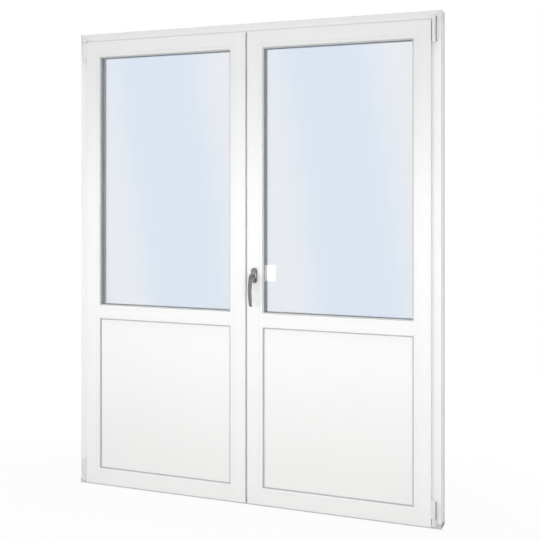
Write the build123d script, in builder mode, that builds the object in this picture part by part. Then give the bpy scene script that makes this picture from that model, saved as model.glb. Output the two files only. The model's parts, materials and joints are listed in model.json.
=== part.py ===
from build123d import *
import math
import os

os.makedirs("parts", exist_ok=True)

# White double door in its frame, seen from the room: X right, Y outwards, Z up.
# The origin is the centre of the threshold's underside. Depth is counted outwards
# from the frame's room face, so a negative depth stands into the room.
# Lengths are millimetres.

# Frame
frame_width = 1692.0
frame_height = 2096.0
frame_depth = 70.0
frame_split_depth = 28.0
side_groove_front = 23.0
side_groove_back = 46.0
side_groove_depth = 4.5
frame_sight = 39.0
leaf_overlap = 8.0
rebate_gap = 12.0
stop_rise = 20.0
outer_wall = 2.8
inner_wall = 2.2
corner_radius = 2.0

# Threshold
threshold_height = 20.0
threshold_back_height = 12.0
threshold_flat = 48.0
threshold_wall = 2.5
threshold_webs = 3

# Leaves
leaf_depth = 70.0
leaf_proud = 16.0
leaf_lift = 10.0
centre_gap = 8.5
seal_gap = 3.0
sash_face = 57.0
mid_rail_height = 806.0
mid_rail_face = 31.0
edge_break = 0.6
leg_chamfer = 4.0
groove_width = 16.0
groove_depth = 6.0
groove_depth_middle = 19.0

drain_length = 28.0
drain_width = 5.0
drain_rise = 6.0
drain_distance = 190.0

# Glass, panel and beads
bead_face = 14.5
bead_thickness = 7.0
bead_radius = 2.5
bead_foot_width = 4.0
bead_foot_length = 10.0
mitre_gap = 0.2
pane_count = 3
pane_thickness = 4.0
pane_gap = 12.0
glass_play = 5.0
spacer_width = 8.0
block_length = 100.0
block_place = 0.25
gasket_cover = 3.0
gasket_reach = 5.5

# Reinforcement
steel_play = 0.5
steel_wall = 2.0
steel_end_gap = 12.0

# Seals
seal_width = 6.0
seal_foot_width = 2.4
seal_foot_length = 2.0
seal_play = 0.3
seal_inset = 1.5
sill_seal_play = 1.8
blade_thickness = 1.6
blade_depth = 45.0
blade_play = 0.4
blade_end_gap = 2.0

# Fixing holes of the frame
fixing_radius = 3.1
fixing_end_distance = 200.0
fixing_rows = 4
head_fixing_spacing = 1000.0

# Astragal on the passive leaf
astragal_end_gap = 2.0
astragal_cap = 4.0
astragal_flange = 12.0
bolt_width = 10.0
bolt_thickness = 3.0
bolt_head_thickness = 4.6
bolt_head_length = 40.0
bolt_tip_edge = 1.5
bolt_play = 0.6
bolt_travel = 18.0
bolt_rest_gap = 2.0
bolt_length = 760.0
thumb_reach = 5.0
thumb_size = 14.0
thumb_distance = 60.0

# Hinges
hinge_side = 11.5
hinge_reach = 10.5
knuckle_radius = 8.8
end_knuckle_radius = 9.5
end_knuckle_height = 14.0
end_knuckle_edge = 2.0
knuckle_play = 0.5
upper_hinge_length = 105.0
upper_hinge_rise = 14.0
hinge_pin_radius = 3.5
pin_play = 0.05
strap_thickness = 1.4
wing_thickness = 1.6
wing_height = 62.0
lower_hinge_bottom = 15.0
bearing_radius = 10.0
bearing_height = 27.8
bearing_foot = 15.0
cover_height = 79.0
cover_gap = 1.2
cover_radius = 8.5
cover_slope = 7.0
pivot_radius = 4.0
pivot_length = 24.0
pivot_depth = 15.0
pivot_tilt_play = 2.5
pivot_top_gap = 0.5

# Tilt stay
stay_length = 480.0
stay_width = 12.0
stay_thickness = 2.5
stay_clearance = 4.0
stay_pin_radius = 3.0
stay_pin_drop = 5.0
stay_neck_width = 7.0
stay_neck_gap = 2.5
stay_plate_thickness = 1.8
stay_plate_gap = 0.4
stay_plate_height = 26.0
stay_notch_play = 2.0

# Lock
handle_height = 1000.0
backset = 15.0
faceplate_thickness = 2.4
faceplate_play = 0.2
faceplate_end_gap = 110.0
rod_width = 12.0
rod_thickness = 2.5
rod_play = 0.3
rod_end_gap = 20.0
rod_travel = 36.0
cam_radius = 4.0
cam_head_radius = 5.0
cam_reach = 7.0
cam_head_height = 2.0
cam_spacing = 640.0
cam_count = 3
slot_play = 1.0
case_height = 140.0
case_thickness = 13.0
case_depth = 23.0
case_play = 0.5
follower_radius = 8.0
follower_play = 0.1
spindle_side = 7.0
spindle_play = 0.1
spindle_hole_radius = 9.0
keep_length = 64.0
keep_thickness = 2.0
keep_wall = 4.0
keep_wall_reach = 6.0
keep_lead = 2.0

# Handle
rosette_length = 66.0
rosette_width = 28.0
rosette_height = 10.0
rosette_wall = 1.5
rosette_edge = 1.0
rosette_taper = 3.0
rosette_base_height = 7.0
rosette_base_play = 0.8
boss_radius = 8.6
boss_play = 0.15
boss_lift = 2.5
neck_height = 30.0
grip_bend = 16.0
grip_lean = 17.5
grip_length = 126.0
grip_width = 14.8
grip_thickness = 11.0
tip_edge = 2.0
screw_spacing = 43.0
screw_radius = 2.5
screw_head_radius = 4.2
screw_head_height = 2.6
screw_length = 34.0
screw_play = 0.15

# Places worked out from the sizes above
room_face_y = -frame_depth / 2
half_width = frame_width / 2
rebate_face = frame_sight + leaf_overlap
stop_edge = rebate_face + stop_rise
leaf_side = half_width - frame_sight
leaf_top = frame_height - frame_sight
leaf_front = -leaf_proud
leaf_back = leaf_front + leaf_depth
lip_width = leaf_overlap + rebate_gap
lip_back = -seal_gap
stop_front = leaf_back + seal_gap
sightline = sash_face + bead_face
bead_back = leaf_front + bead_thickness
unit_front = bead_back + seal_gap
unit_thickness = pane_count * pane_thickness + (pane_count - 1) * pane_gap
unit_back = unit_front + unit_thickness
leg_front = unit_back + seal_gap
groove_front = groove_depth_middle - groove_width / 2
groove_back = groove_depth_middle + groove_width / 2
steel_front = outer_wall - inner_wall / 2
steel_back = leg_front - outer_wall
steel_edge = lip_width + groove_depth + outer_wall
frame_ring = (-half_width, half_width, 0.0, frame_height)
left_ring = (-leaf_side, -centre_gap / 2, leaf_lift, leaf_top)
right_ring = (centre_gap / 2, leaf_side, leaf_lift, leaf_top)
leaf_rings = {"left": left_ring, "right": right_ring}
body_bottom = leaf_lift + lip_width
body_top = leaf_top - lip_width
rail_top = mid_rail_height + mid_rail_face / 2
rail_bottom = mid_rail_height - mid_rail_face / 2
hinge_x = leaf_side + hinge_side
hinge_depth = -hinge_reach
upper_hinge_top = leaf_top + upper_hinge_rise
upper_hinge_bottom = upper_hinge_top - upper_hinge_length
bearing_top = lower_hinge_bottom + bearing_height
cover_bottom = bearing_top + cover_gap
cover_top = cover_bottom + cover_height
pivot_bottom = bearing_top - pivot_depth + knuckle_play
pivot_top = pivot_bottom + pivot_length
tilt_axis_height = pivot_bottom + pivot_radius
reach = frame_width


def depth_y(depth):
    return room_face_y + depth


def front_plane(depth):
    # A plane facing the room at a depth; extrusions from it come into the room.
    return Plane.XZ.offset(-depth_y(depth))


def side_plane(side, ring):
    # The plane at the start of one side of a rectangular ring. Its X runs from the
    # ring's edge inwards and its Y runs outwards, so one section serves all sides.
    x_low, x_high, z_low, z_high = ring
    if side == "left":
        return Plane(origin=(x_low, room_face_y, z_low), x_dir=(1, 0, 0), z_dir=(0, 0, 1))
    if side == "right":
        return Plane(origin=(x_high, room_face_y, z_high), x_dir=(-1, 0, 0), z_dir=(0, 0, -1))
    if side == "top":
        return Plane(origin=(x_low, room_face_y, z_high), x_dir=(0, 0, -1), z_dir=(1, 0, 0))
    return Plane(origin=(x_high, room_face_y, z_low), x_dir=(0, 0, 1), z_dir=(-1, 0, 0))


def side_length(side, ring):
    x_low, x_high, z_low, z_high = ring
    if side in ("left", "right"):
        return z_high - z_low
    return x_high - x_low


def mitre_outline(side, ring, width, gap):
    # The outline of one mitred side, as seen from the room.
    x_low, x_high, z_low, z_high = ring
    inner_bottom = z_low + width
    inner_top = z_high - width
    if side == "left":
        inner = x_low + width
        return [(x_low, z_low), (x_low, z_high), (inner, inner_top), (inner, inner_bottom)]
    if side == "right":
        inner = x_high - width
        return [(x_high, z_low), (x_high, z_high), (inner, inner_top), (inner, inner_bottom)]
    inner_low = x_low + width + gap
    inner_high = x_high - width - gap
    outer_low = x_low + gap
    outer_high = x_high - gap
    if side == "top":
        return [(outer_low, z_high), (outer_high, z_high), (inner_high, inner_top), (inner_low, inner_top)]
    return [(outer_low, z_low), (outer_high, z_low), (inner_high, inner_bottom), (inner_low, inner_bottom)]


def draw_box(low, high, front, back, mode=Mode.ADD):
    with Locations(((low + high) / 2, (front + back) / 2)):
        Rectangle(high - low, back - front, mode=mode)


def add_block(x_low, x_high, front, back, z_low, z_high, mode=Mode.ADD):
    middle = ((x_low + x_high) / 2, depth_y((front + back) / 2), (z_low + z_high) / 2)
    with Locations(middle):
        Box(x_high - x_low, back - front, z_high - z_low, mode=mode)


def add_post(x, depth, z_low, z_high, radius, mode=Mode.ADD):
    with BuildSketch(Plane.XY.offset(z_low)) as disc:
        with Locations((x, depth_y(depth))):
            Circle(radius)
    extrude(disc.sketch, amount=z_high - z_low, mode=mode)


def bore_across(depth, height, radius):
    # A round hole right through the width of the piece.
    with BuildSketch(Plane.YZ.offset(-reach)) as disc:
        with Locations((depth_y(depth), height)):
            Circle(radius)
    extrude(disc.sketch, amount=2 * reach, mode=Mode.SUBTRACT)


def add_ring(rect, outer_inset, inner_inset, front, back):
    # A flat rectangular ring between two insets of a rectangle seen from the room.
    x_low, x_high, z_low, z_high = rect
    with BuildSketch(front_plane(back)) as band:
        draw_box(x_low + outer_inset, x_high - outer_inset, z_low + outer_inset, z_high - outer_inset)
        draw_box(x_low + inner_inset, x_high - inner_inset, z_low + inner_inset,
                 z_high - inner_inset, Mode.SUBTRACT)
    extrude(band.sketch, amount=back - front)


def mitred_bar(side, ring, width, draw_section, gap=0.0):
    with BuildPart() as bar:
        with BuildSketch(side_plane(side, ring)) as section:
            draw_section(section)
        extrude(amount=side_length(side, ring))
        with BuildSketch(Plane.XZ.offset(-reach)):
            Polygon(*mitre_outline(side, ring, width, gap), align=None)
        extrude(amount=2 * reach, mode=Mode.INTERSECT)
    return bar


def keep_piece(piece, label):
    piece.part.label = label
    export_step(piece.part, f"parts/{label}.step")


def round_corner(sketch, point, radius):
    corner = sketch.vertices().sort_by_distance(Vector(point[0], point[1], 0))[0]
    fillet(corner, radius)


def frame_section(section):
    # Room part up to the rebate face, then the outer stop that the leaves close on.
    # A wide groove for the fixings runs along the middle of the outer side.
    Polygon(
        (0, 0),
        (rebate_face, 0),
        (rebate_face, stop_front),
        (stop_edge, stop_front),
        (stop_edge, frame_depth),
        (0, frame_depth),
        (0, side_groove_back),
        (side_groove_depth, side_groove_back),
        (side_groove_depth, side_groove_front),
        (0, side_groove_front),
        align=None,
    )
    round_corner(section, (0, 0), corner_radius)
    round_corner(section, (stop_edge, stop_front), corner_radius)
    room_chamber_back = frame_split_depth + inner_wall / 2
    middle_front = frame_split_depth + outer_wall
    middle_back = stop_front - outer_wall
    outer_back = frame_depth - outer_wall
    groove_floor = side_groove_depth + outer_wall
    rib_back = side_groove_front - outer_wall
    draw_box(groove_floor, rebate_face - outer_wall, outer_wall, room_chamber_back, Mode.SUBTRACT)
    draw_box(outer_wall, groove_floor, outer_wall, rib_back, Mode.SUBTRACT)
    draw_box(groove_floor, rebate_face - outer_wall, middle_front, middle_back, Mode.SUBTRACT)
    draw_box(outer_wall, rebate_face - outer_wall, middle_back + inner_wall, outer_back, Mode.SUBTRACT)
    lip_chamber_front = stop_front + seal_foot_length + inner_wall
    draw_box(rebate_face, stop_edge - outer_wall, lip_chamber_front, outer_back, Mode.SUBTRACT)
    seal_middle = (lip_width + frame_sight + stop_edge) / 2
    foot_low = seal_middle - seal_foot_width / 2
    foot_high = seal_middle + seal_foot_width / 2
    draw_box(foot_low, foot_high, stop_front, stop_front + seal_foot_length, Mode.SUBTRACT)


def sash_section(section):
    # Overlapping lip, hollow body with the hardware groove, and the outer glazing leg.
    Polygon(
        (0, leaf_front),
        (sash_face - edge_break, leaf_front),
        (sash_face, leaf_front + edge_break),
        (sash_face, leg_front),
        (sightline, leg_front),
        (sightline, leaf_back - leg_chamfer),
        (sightline - leg_chamfer, leaf_back),
        (lip_width, leaf_back),
        (lip_width, lip_back),
        (0, lip_back),
        align=None,
    )
    round_corner(section, (0, leaf_front), corner_radius)
    draw_box(lip_width, lip_width + groove_depth, groove_front, groove_back, Mode.SUBTRACT)
    room_front = leaf_front + outer_wall
    body_low = lip_width + outer_wall
    body_high = sash_face - outer_wall
    lip_chamber_back = lip_back - seal_foot_length - inner_wall
    draw_box(outer_wall, body_low - inner_wall, room_front, lip_chamber_back, Mode.SUBTRACT)
    draw_box(body_low, body_high, room_front, steel_front - inner_wall, Mode.SUBTRACT)
    draw_box(steel_edge, body_high, steel_front, steel_back, Mode.SUBTRACT)
    draw_box(body_low, body_high, steel_back + inner_wall, leaf_back - outer_wall, Mode.SUBTRACT)
    leg_low = body_high + inner_wall
    draw_box(leg_low, sightline - leg_chamfer, leg_front + outer_wall, leaf_back - outer_wall, Mode.SUBTRACT)
    foot_low = seal_inset + (seal_width - seal_foot_width) / 2
    draw_box(foot_low, foot_low + seal_foot_width, lip_back - seal_foot_length, lip_back, Mode.SUBTRACT)


def bead_section(section):
    # Measured from the floor of the glazing rebate, with the foot that clips beside the glass.
    Polygon(
        (0, leaf_front + edge_break),
        (edge_break, leaf_front),
        (bead_face, leaf_front),
        (bead_face, bead_back),
        (bead_foot_width, bead_back),
        (bead_foot_width, bead_back + bead_foot_length),
        (0, bead_back + bead_foot_length),
        align=None,
    )
    round_corner(section, (bead_face, leaf_front), bead_radius)


def threshold_outline(margin, floor):
    # Flat under the leaves, falling to the outside, with a margin past both faces.
    slope = (threshold_height - threshold_back_height) / (frame_depth - threshold_flat)
    far_height = threshold_back_height - slope * margin
    return [
        (depth_y(-margin), floor),
        (depth_y(-margin), threshold_height),
        (depth_y(threshold_flat), threshold_height),
        (depth_y(frame_depth + margin), far_height),
        (depth_y(frame_depth + margin), floor),
    ]


def fixing_heights():
    gap = (frame_height - 2 * fixing_end_distance) / (fixing_rows - 1)
    return [fixing_end_distance + row * gap for row in range(fixing_rows)]


fixing_depth = (frame_split_depth + stop_front) / 2
bolt_x = leaf_overlap + centre_gap / 2 - groove_depth / 2
pocket_half = groove_depth / 2 + bolt_play
pocket_front = groove_depth_middle - bolt_width / 2 - bolt_play
pocket_back = groove_depth_middle + bolt_width / 2 + bolt_play


# Head, with a pocket that the top bolt rises into
head_bar = mitred_bar("top", frame_ring, stop_edge, frame_section)
with BuildPart() as frame_head:
    add(head_bar.part)
    pocket_bottom = frame_height - rebate_face
    pocket_top = pocket_bottom + bolt_travel
    add_block(bolt_x - pocket_half, bolt_x + pocket_half, pocket_front, pocket_back,
              pocket_bottom - outer_wall, pocket_top, Mode.SUBTRACT)
    for side_sign in (-1, 1):
        fixing_x = side_sign * head_fixing_spacing / 2
        add_post(fixing_x, fixing_depth, pocket_bottom - outer_wall, frame_height + outer_wall,
                 fixing_radius, Mode.SUBTRACT)
keep_piece(frame_head, "frame_head")


# Jambs, cut to stand on the threshold
jamb_ring = (frame_ring[0], frame_ring[1], -stop_edge, frame_ring[3])


def cut_threshold_seat():
    with BuildSketch(Plane.YZ.offset(-reach)) as seat:
        Polygon(*threshold_outline(outer_wall, -2 * stop_edge), align=None)
    extrude(seat.sketch, amount=2 * reach, mode=Mode.SUBTRACT)


for side_name in ("left", "right"):
    jamb_bar = mitred_bar(side_name, jamb_ring, stop_edge, frame_section)
    with BuildPart() as jamb:
        add(jamb_bar.part)
        cut_threshold_seat()
        for hole_height in fixing_heights():
            bore_across(fixing_depth, hole_height, fixing_radius)
    keep_piece(jamb, f"frame_jamb_{side_name}")


# Threshold, a hollow extrusion with the slot that the bottom bolt drops into
with BuildPart() as threshold:
    with BuildSketch(Plane.YZ.offset(-half_width)) as threshold_sketch:
        Polygon(*threshold_outline(0, 0), align=None)
        round_corner(threshold_sketch, (depth_y(0), threshold_height), threshold_wall / 2)
        chamber_width = (threshold_flat - threshold_wall) / threshold_webs - threshold_wall
        for chamber in range(threshold_webs):
            chamber_front = threshold_wall + chamber * (chamber_width + threshold_wall)
            draw_box(depth_y(chamber_front), depth_y(chamber_front + chamber_width),
                     threshold_wall, threshold_height - threshold_wall, Mode.SUBTRACT)
        Polygon(
            (depth_y(threshold_flat + threshold_wall / 2), threshold_wall),
            (depth_y(frame_depth - threshold_wall), threshold_wall),
            (depth_y(frame_depth - threshold_wall), threshold_back_height - threshold_wall),
            (depth_y(threshold_flat + threshold_wall / 2), threshold_height - 2 * threshold_wall),
            align=None,
            mode=Mode.SUBTRACT,
        )
    extrude(amount=2 * half_width)
    add_block(bolt_x - pocket_half, bolt_x + pocket_half, pocket_front, pocket_back,
              threshold_wall, threshold_height + threshold_wall, Mode.SUBTRACT)
keep_piece(threshold, "threshold")


# Box steel in the jambs and the head, with the fixing holes passing through
def steel_tube(low, high, front, back):
    draw_box(low, high, front, back)
    draw_box(low + steel_wall, high - steel_wall, front + steel_wall, back - steel_wall, Mode.SUBTRACT)


def frame_steel_section(section):
    steel_tube(
        side_groove_depth + outer_wall + steel_play,
        rebate_face - outer_wall - steel_play,
        frame_split_depth + outer_wall + steel_play,
        stop_front - outer_wall - steel_play,
    )


def square_bar(side, ring, start, end, draw_section):
    # A square-cut length of section along one side of a ring.
    plane = side_plane(side, ring)
    with BuildPart() as bar:
        with BuildSketch(plane.offset(start)) as section:
            draw_section(section)
        extrude(amount=side_length(side, ring) - start - end)
    return bar


steel_inset = stop_edge + steel_end_gap
steel_foot = threshold_height + steel_end_gap
jamb_steels = [
    square_bar("left", frame_ring, steel_foot, steel_inset, frame_steel_section).part,
    square_bar("right", frame_ring, steel_inset, steel_foot, frame_steel_section).part,
]
head_steel = square_bar("top", frame_ring, steel_inset, steel_inset, frame_steel_section)
with BuildPart() as frame_steels:
    add(jamb_steels)
    for hole_height in fixing_heights():
        bore_across(fixing_depth, hole_height, fixing_radius)
    add(head_steel.part)
    for side_sign in (-1, 1):
        add_post(side_sign * head_fixing_spacing / 2, fixing_depth, frame_height - stop_edge,
                 frame_height, fixing_radius, Mode.SUBTRACT)
keep_piece(frame_steels, "frame_steels")


# Weather seal on the outer stop, a foot in its groove and a bulb towards the leaves
def stop_seal_section(section):
    seal_middle = (lip_width + frame_sight + stop_edge) / 2
    draw_box(seal_middle - seal_width / 2, seal_middle + seal_width / 2, leaf_back + seal_play, stop_front)
    foot_half = (seal_foot_width - seal_play) / 2
    draw_box(seal_middle - foot_half, seal_middle + foot_half, stop_front, stop_front + seal_foot_length)


stop_seals = [
    mitred_bar(side_name, jamb_ring, stop_edge, stop_seal_section, mitre_gap).part
    for side_name in ("left", "top", "right")
]
with BuildPart() as frame_seal:
    add(stop_seals)
    cut_threshold_seat()
keep_piece(frame_seal, "frame_seal")


# Leaf profiles. The lock stile of the active leaf is milled for the lock and the handle.
def mid_rail_section(section):
    half_face = mid_rail_face / 2
    half_sight = half_face + bead_face
    Polygon(
        (-half_face, leaf_front + edge_break),
        (edge_break - half_face, leaf_front),
        (half_face - edge_break, leaf_front),
        (half_face, leaf_front + edge_break),
        (half_face, leg_front),
        (half_sight, leg_front),
        (half_sight, leaf_back - leg_chamfer),
        (half_sight - leg_chamfer, leaf_back),
        (leg_chamfer - half_sight, leaf_back),
        (-half_sight, leaf_back - leg_chamfer),
        (-half_sight, leg_front),
        (-half_face, leg_front),
        align=None,
    )
    chamber_half = half_face - outer_wall
    draw_box(-chamber_half, chamber_half, leaf_front + outer_wall, steel_front - inner_wall, Mode.SUBTRACT)
    draw_box(-chamber_half, chamber_half, steel_front, steel_back, Mode.SUBTRACT)
    flange_half = half_sight - leg_chamfer
    draw_box(-flange_half, flange_half, leg_front + outer_wall, leaf_back - outer_wall, Mode.SUBTRACT)


def rail_plane(x):
    # Section plane of the mid rail: its X runs up and its Y outwards.
    return Plane(origin=(x, room_face_y, mid_rail_height), x_dir=(0, 0, 1), z_dir=(-1, 0, 0))


def mid_rail(ring):
    x_low = ring[0] + sash_face
    x_high = ring[1] - sash_face
    with BuildPart() as rail:
        with BuildSketch(rail_plane(x_high)) as section:
            mid_rail_section(section)
        extrude(amount=x_high - x_low)
        for rail_end in (x_low, x_high):
            add_block(rail_end - bead_face, rail_end + bead_face, leg_front, leaf_back + outer_wall,
                      rail_bottom - 2 * bead_face, rail_top + 2 * bead_face, Mode.SUBTRACT)
    return rail


lock_edge_x = right_ring[0]
handle_x = lock_edge_x + lip_width + backset
pocket_half_height = case_height / 2 + case_play
pocket_half_thickness = case_thickness / 2 + case_play
pocket_low_x = lock_edge_x + lip_width + groove_depth - inner_wall
pocket_high_x = lock_edge_x + lip_width + groove_depth + case_depth + 2 * case_play

outer_side = {"left": "left", "right": "right"}
inner_side = {"left": "right", "right": "left"}


def cut_lock_pocket():
    add_block(pocket_low_x, pocket_high_x, groove_depth_middle - pocket_half_thickness,
              groove_depth_middle + pocket_half_thickness, handle_height - pocket_half_height,
              handle_height + pocket_half_height, Mode.SUBTRACT)


def cut_handle_holes():
    # Room-side holes for the spindle and the two handle screws.
    with BuildSketch(front_plane(groove_depth_middle)) as holes:
        with Locations((handle_x, handle_height)):
            Circle(spindle_hole_radius)
            with Locations((0, screw_spacing / 2), (0, -screw_spacing / 2)):
                Circle(screw_radius + screw_play)
    extrude(holes.sketch, amount=groove_depth_middle - leaf_front + outer_wall, mode=Mode.SUBTRACT)


def cut_drain_slots(ring):
    # Water slots through the outer wall of the lowest chamber.
    slot_height = ring[2] + lip_width + outer_wall + drain_rise
    with BuildSketch(front_plane(leaf_back + outer_wall)) as slots:
        for slot_x in (ring[0] + drain_distance, ring[1] - drain_distance):
            with Locations((slot_x, slot_height)):
                SlotOverall(drain_length, drain_width)
    extrude(slots.sketch, amount=2 * outer_wall + leg_chamfer, mode=Mode.SUBTRACT)


for leaf_name, ring in leaf_rings.items():
    bars = {
        "hinge_stile": outer_side[leaf_name],
        "lock_stile": inner_side[leaf_name],
        "top_rail": "top",
        "bottom_rail": "bottom",
    }
    for bar_name, bar_side in bars.items():
        plain_bar = mitred_bar(bar_side, ring, sightline, sash_section)
        with BuildPart() as sash_bar:
            add(plain_bar.part)
            if bar_name == "lock_stile" and leaf_name == "right":
                cut_lock_pocket()
                cut_handle_holes()
            if bar_name == "bottom_rail":
                cut_drain_slots(ring)
        keep_piece(sash_bar, f"{leaf_name}_{bar_name}")
    keep_piece(mid_rail(ring), f"{leaf_name}_mid_rail")


# Box steel in every leaf profile
def leaf_steel_section(section):
    steel_tube(steel_edge + steel_play, sash_face - outer_wall - steel_play,
               steel_front + steel_play, steel_back - steel_play)


def rail_steel_section():
    half = mid_rail_face / 2 - outer_wall - steel_play
    steel_tube(-half, half, steel_front + steel_play, steel_back - steel_play)


for leaf_name, ring in leaf_rings.items():
    inset = sightline + steel_end_gap
    lock_steel = square_bar(inner_side[leaf_name], ring, inset, inset, leaf_steel_section)
    other_steels = [
        square_bar(bar_side, ring, inset, inset, leaf_steel_section).part
        for bar_side in (outer_side[leaf_name], "top", "bottom")
    ]
    with BuildPart() as leaf_steels:
        add(lock_steel.part)
        if leaf_name == "right":
            cut_lock_pocket()
            cut_handle_holes()
        add(other_steels)
        with BuildSketch(rail_plane(ring[1] - sash_face - steel_play)):
            rail_steel_section()
        extrude(amount=ring[1] - ring[0] - 2 * sash_face - 2 * steel_play)
    keep_piece(leaf_steels, f"{leaf_name}_steels")


# Glass units, panels, setting blocks, beads and glazing gaskets
def rebate_rect(ring, opening):
    # The floor-to-floor rectangle of a glazing rebate, seen from the room.
    x_low = ring[0] + sash_face
    x_high = ring[1] - sash_face
    if opening == "glass":
        return (x_low, x_high, rail_top, ring[3] - sash_face)
    return (x_low, x_high, ring[2] + sash_face, rail_bottom)


def sheet(rect, inset, front, back):
    with BuildPart() as plate:
        with BuildSketch(front_plane(back)):
            draw_box(rect[0] + inset, rect[1] - inset, rect[2] + inset, rect[3] - inset)
        extrude(amount=back - front)
    return plate


pane_names = ("inner_pane", "middle_pane", "outer_pane")
pane_pitch = pane_thickness + pane_gap
glass_edge = bead_face + gasket_reach
for leaf_name, ring in leaf_rings.items():
    glass_rect = rebate_rect(ring, "glass")
    panel_rect = rebate_rect(ring, "panel")
    for pane_index, pane_name in enumerate(pane_names):
        pane_front = unit_front + pane_index * pane_pitch
        pane = sheet(glass_rect, glass_play, pane_front, pane_front + pane_thickness)
        keep_piece(pane, f"{leaf_name}_{pane_name}")

    with BuildPart() as spacers:
        for gap_index in range(pane_count - 1):
            spacer_front = unit_front + pane_thickness + gap_index * pane_pitch
            add_ring(glass_rect, glass_edge - spacer_width, glass_edge, spacer_front, spacer_front + pane_gap)
    keep_piece(spacers, f"{leaf_name}_spacers")

    panel = sheet(panel_rect, glass_play, unit_front, unit_back)
    keep_piece(panel, f"{leaf_name}_panel")

    with BuildPart() as setting_blocks:
        for rect in (glass_rect, panel_rect):
            block_inset = (rect[1] - rect[0]) * block_place
            for block_x in (rect[0] + block_inset, rect[1] - block_inset):
                add_block(block_x - block_length / 2, block_x + block_length / 2,
                          bead_back + bead_foot_length + seal_play, unit_back, rect[2], rect[2] + glass_play)
    keep_piece(setting_blocks, f"{leaf_name}_setting_blocks")

    bead_bars = []
    for rect in (glass_rect, panel_rect):
        for bar_side in ("left", "right", "top", "bottom"):
            bead_bars.append(mitred_bar(bar_side, rect, bead_face, bead_section, mitre_gap).part)
    with BuildPart() as beads:
        add(bead_bars)
    keep_piece(beads, f"{leaf_name}_beads")

    gasket_low = bead_face - gasket_cover
    with BuildPart() as glazing_gaskets:
        for rect in (glass_rect, panel_rect):
            add_ring(rect, gasket_low, glass_edge, bead_back, unit_front)
            add_ring(rect, gasket_low, glass_edge, unit_back, leg_front)
    keep_piece(glazing_gaskets, f"{leaf_name}_glazing_gaskets")


# Leaf seal behind the overlapping lip, thinner at the bottom where the leaf tilts,
# with a blade under the bottom rail. It is notched at the upper knuckle.
stay_plate_top = body_top + stay_clearance + stay_thickness
stay_plate_bottom = stay_plate_top - stay_plate_height
stay_neck_outer = hinge_x - hinge_side - lip_width + stay_neck_gap + stay_neck_width
stay_neck_inner = stay_neck_outer - stay_neck_width

for leaf_name, ring in leaf_rings.items():
    foot_inset = seal_inset + (seal_width - seal_foot_width) / 2 + seal_play / 2
    with BuildPart() as leaf_seal:
        add_ring(ring, seal_inset, seal_inset + seal_width, lip_back, -seal_play)
        add_ring(ring, foot_inset, foot_inset + seal_foot_width - seal_play,
                 lip_back - seal_foot_length, lip_back)
        add_block(ring[0], ring[1], -sill_seal_play, 0, 0, tilt_axis_height, Mode.SUBTRACT)
        if leaf_name == "right":
            add_block(hinge_x - lip_width - hinge_side, hinge_x, lip_back - seal_foot_length, 0,
                      stay_plate_bottom - stay_notch_play, stay_plate_top + stay_notch_play, Mode.SUBTRACT)
        blade_inset = lip_width + blade_end_gap
        add_block(ring[0] + blade_inset, ring[1] - blade_inset, blade_depth - blade_thickness / 2,
                  blade_depth + blade_thickness / 2, threshold_height + blade_play, body_bottom)
    keep_piece(leaf_seal, f"{leaf_name}_leaf_seal")


# Astragal: the false mullion on the passive leaf that the active leaf closes on
astragal_left = left_ring[1] - lip_width
astragal_right = right_ring[0] + leaf_overlap
astragal_lip = astragal_right + stop_rise
astragal_bottom = threshold_height + astragal_end_gap
astragal_top = frame_height - rebate_face - astragal_end_gap
flange_top = frame_height - stop_edge - astragal_end_gap


def astragal_outline(section):
    Polygon(
        (astragal_left, depth_y(0)),
        (astragal_right, depth_y(0)),
        (astragal_right, depth_y(stop_front)),
        (astragal_lip, depth_y(stop_front)),
        (astragal_lip, depth_y(frame_depth)),
        (astragal_left - astragal_flange, depth_y(frame_depth)),
        (astragal_left - astragal_flange, depth_y(leaf_back)),
        (astragal_left, depth_y(leaf_back)),
        align=None,
    )
    round_corner(section, (astragal_lip, depth_y(frame_depth)), corner_radius)
    round_corner(section, (astragal_left - astragal_flange, depth_y(frame_depth)), corner_radius)
    groove_low = astragal_right - groove_depth
    draw_box(groove_low, astragal_right, depth_y(groove_front), depth_y(groove_back), Mode.SUBTRACT)


def astragal_chambers():
    chamber_low = astragal_left + outer_wall
    groove_wall = astragal_right - groove_depth - outer_wall
    split_depth = groove_back + inner_wall
    draw_box(chamber_low, groove_wall, depth_y(outer_wall), depth_y(groove_back), Mode.SUBTRACT)
    draw_box(chamber_low, astragal_right - outer_wall, depth_y(split_depth + outer_wall),
             depth_y(leaf_back - outer_wall), Mode.SUBTRACT)
    draw_box(astragal_left - astragal_flange + outer_wall, astragal_right - outer_wall,
             depth_y(leaf_back + outer_wall), depth_y(frame_depth - outer_wall), Mode.SUBTRACT)


def trim_flange():
    # The outer flange stops short of the head's stop.
    add_block(astragal_left - 2 * astragal_flange, astragal_lip + stop_rise, leaf_back,
              frame_depth + outer_wall, flange_top, frame_height, Mode.SUBTRACT)


astragal_seal_x = (right_ring[0] + lip_width + astragal_lip) / 2
with BuildPart() as astragal:
    with BuildSketch(Plane.XY.offset(astragal_bottom + astragal_cap)) as outline:
        astragal_outline(outline)
        astragal_chambers()
    extrude(amount=astragal_top - astragal_bottom - 2 * astragal_cap)
    trim_flange()
    foot_half = seal_foot_width / 2
    add_block(astragal_seal_x - foot_half, astragal_seal_x + foot_half, stop_front,
              stop_front + seal_foot_length, astragal_bottom, astragal_top, Mode.SUBTRACT)
keep_piece(astragal, "astragal")

with BuildPart() as astragal_caps:
    for cap_bottom in (astragal_bottom, astragal_top - astragal_cap):
        with BuildSketch(Plane.XY.offset(cap_bottom)) as outline:
            astragal_outline(outline)
        extrude(amount=astragal_cap)
    trim_flange()
    add_block(astragal_seal_x - foot_half, astragal_seal_x + foot_half, stop_front,
              stop_front + seal_foot_length, astragal_bottom, astragal_top, Mode.SUBTRACT)
keep_piece(astragal_caps, "astragal_caps")

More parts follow.
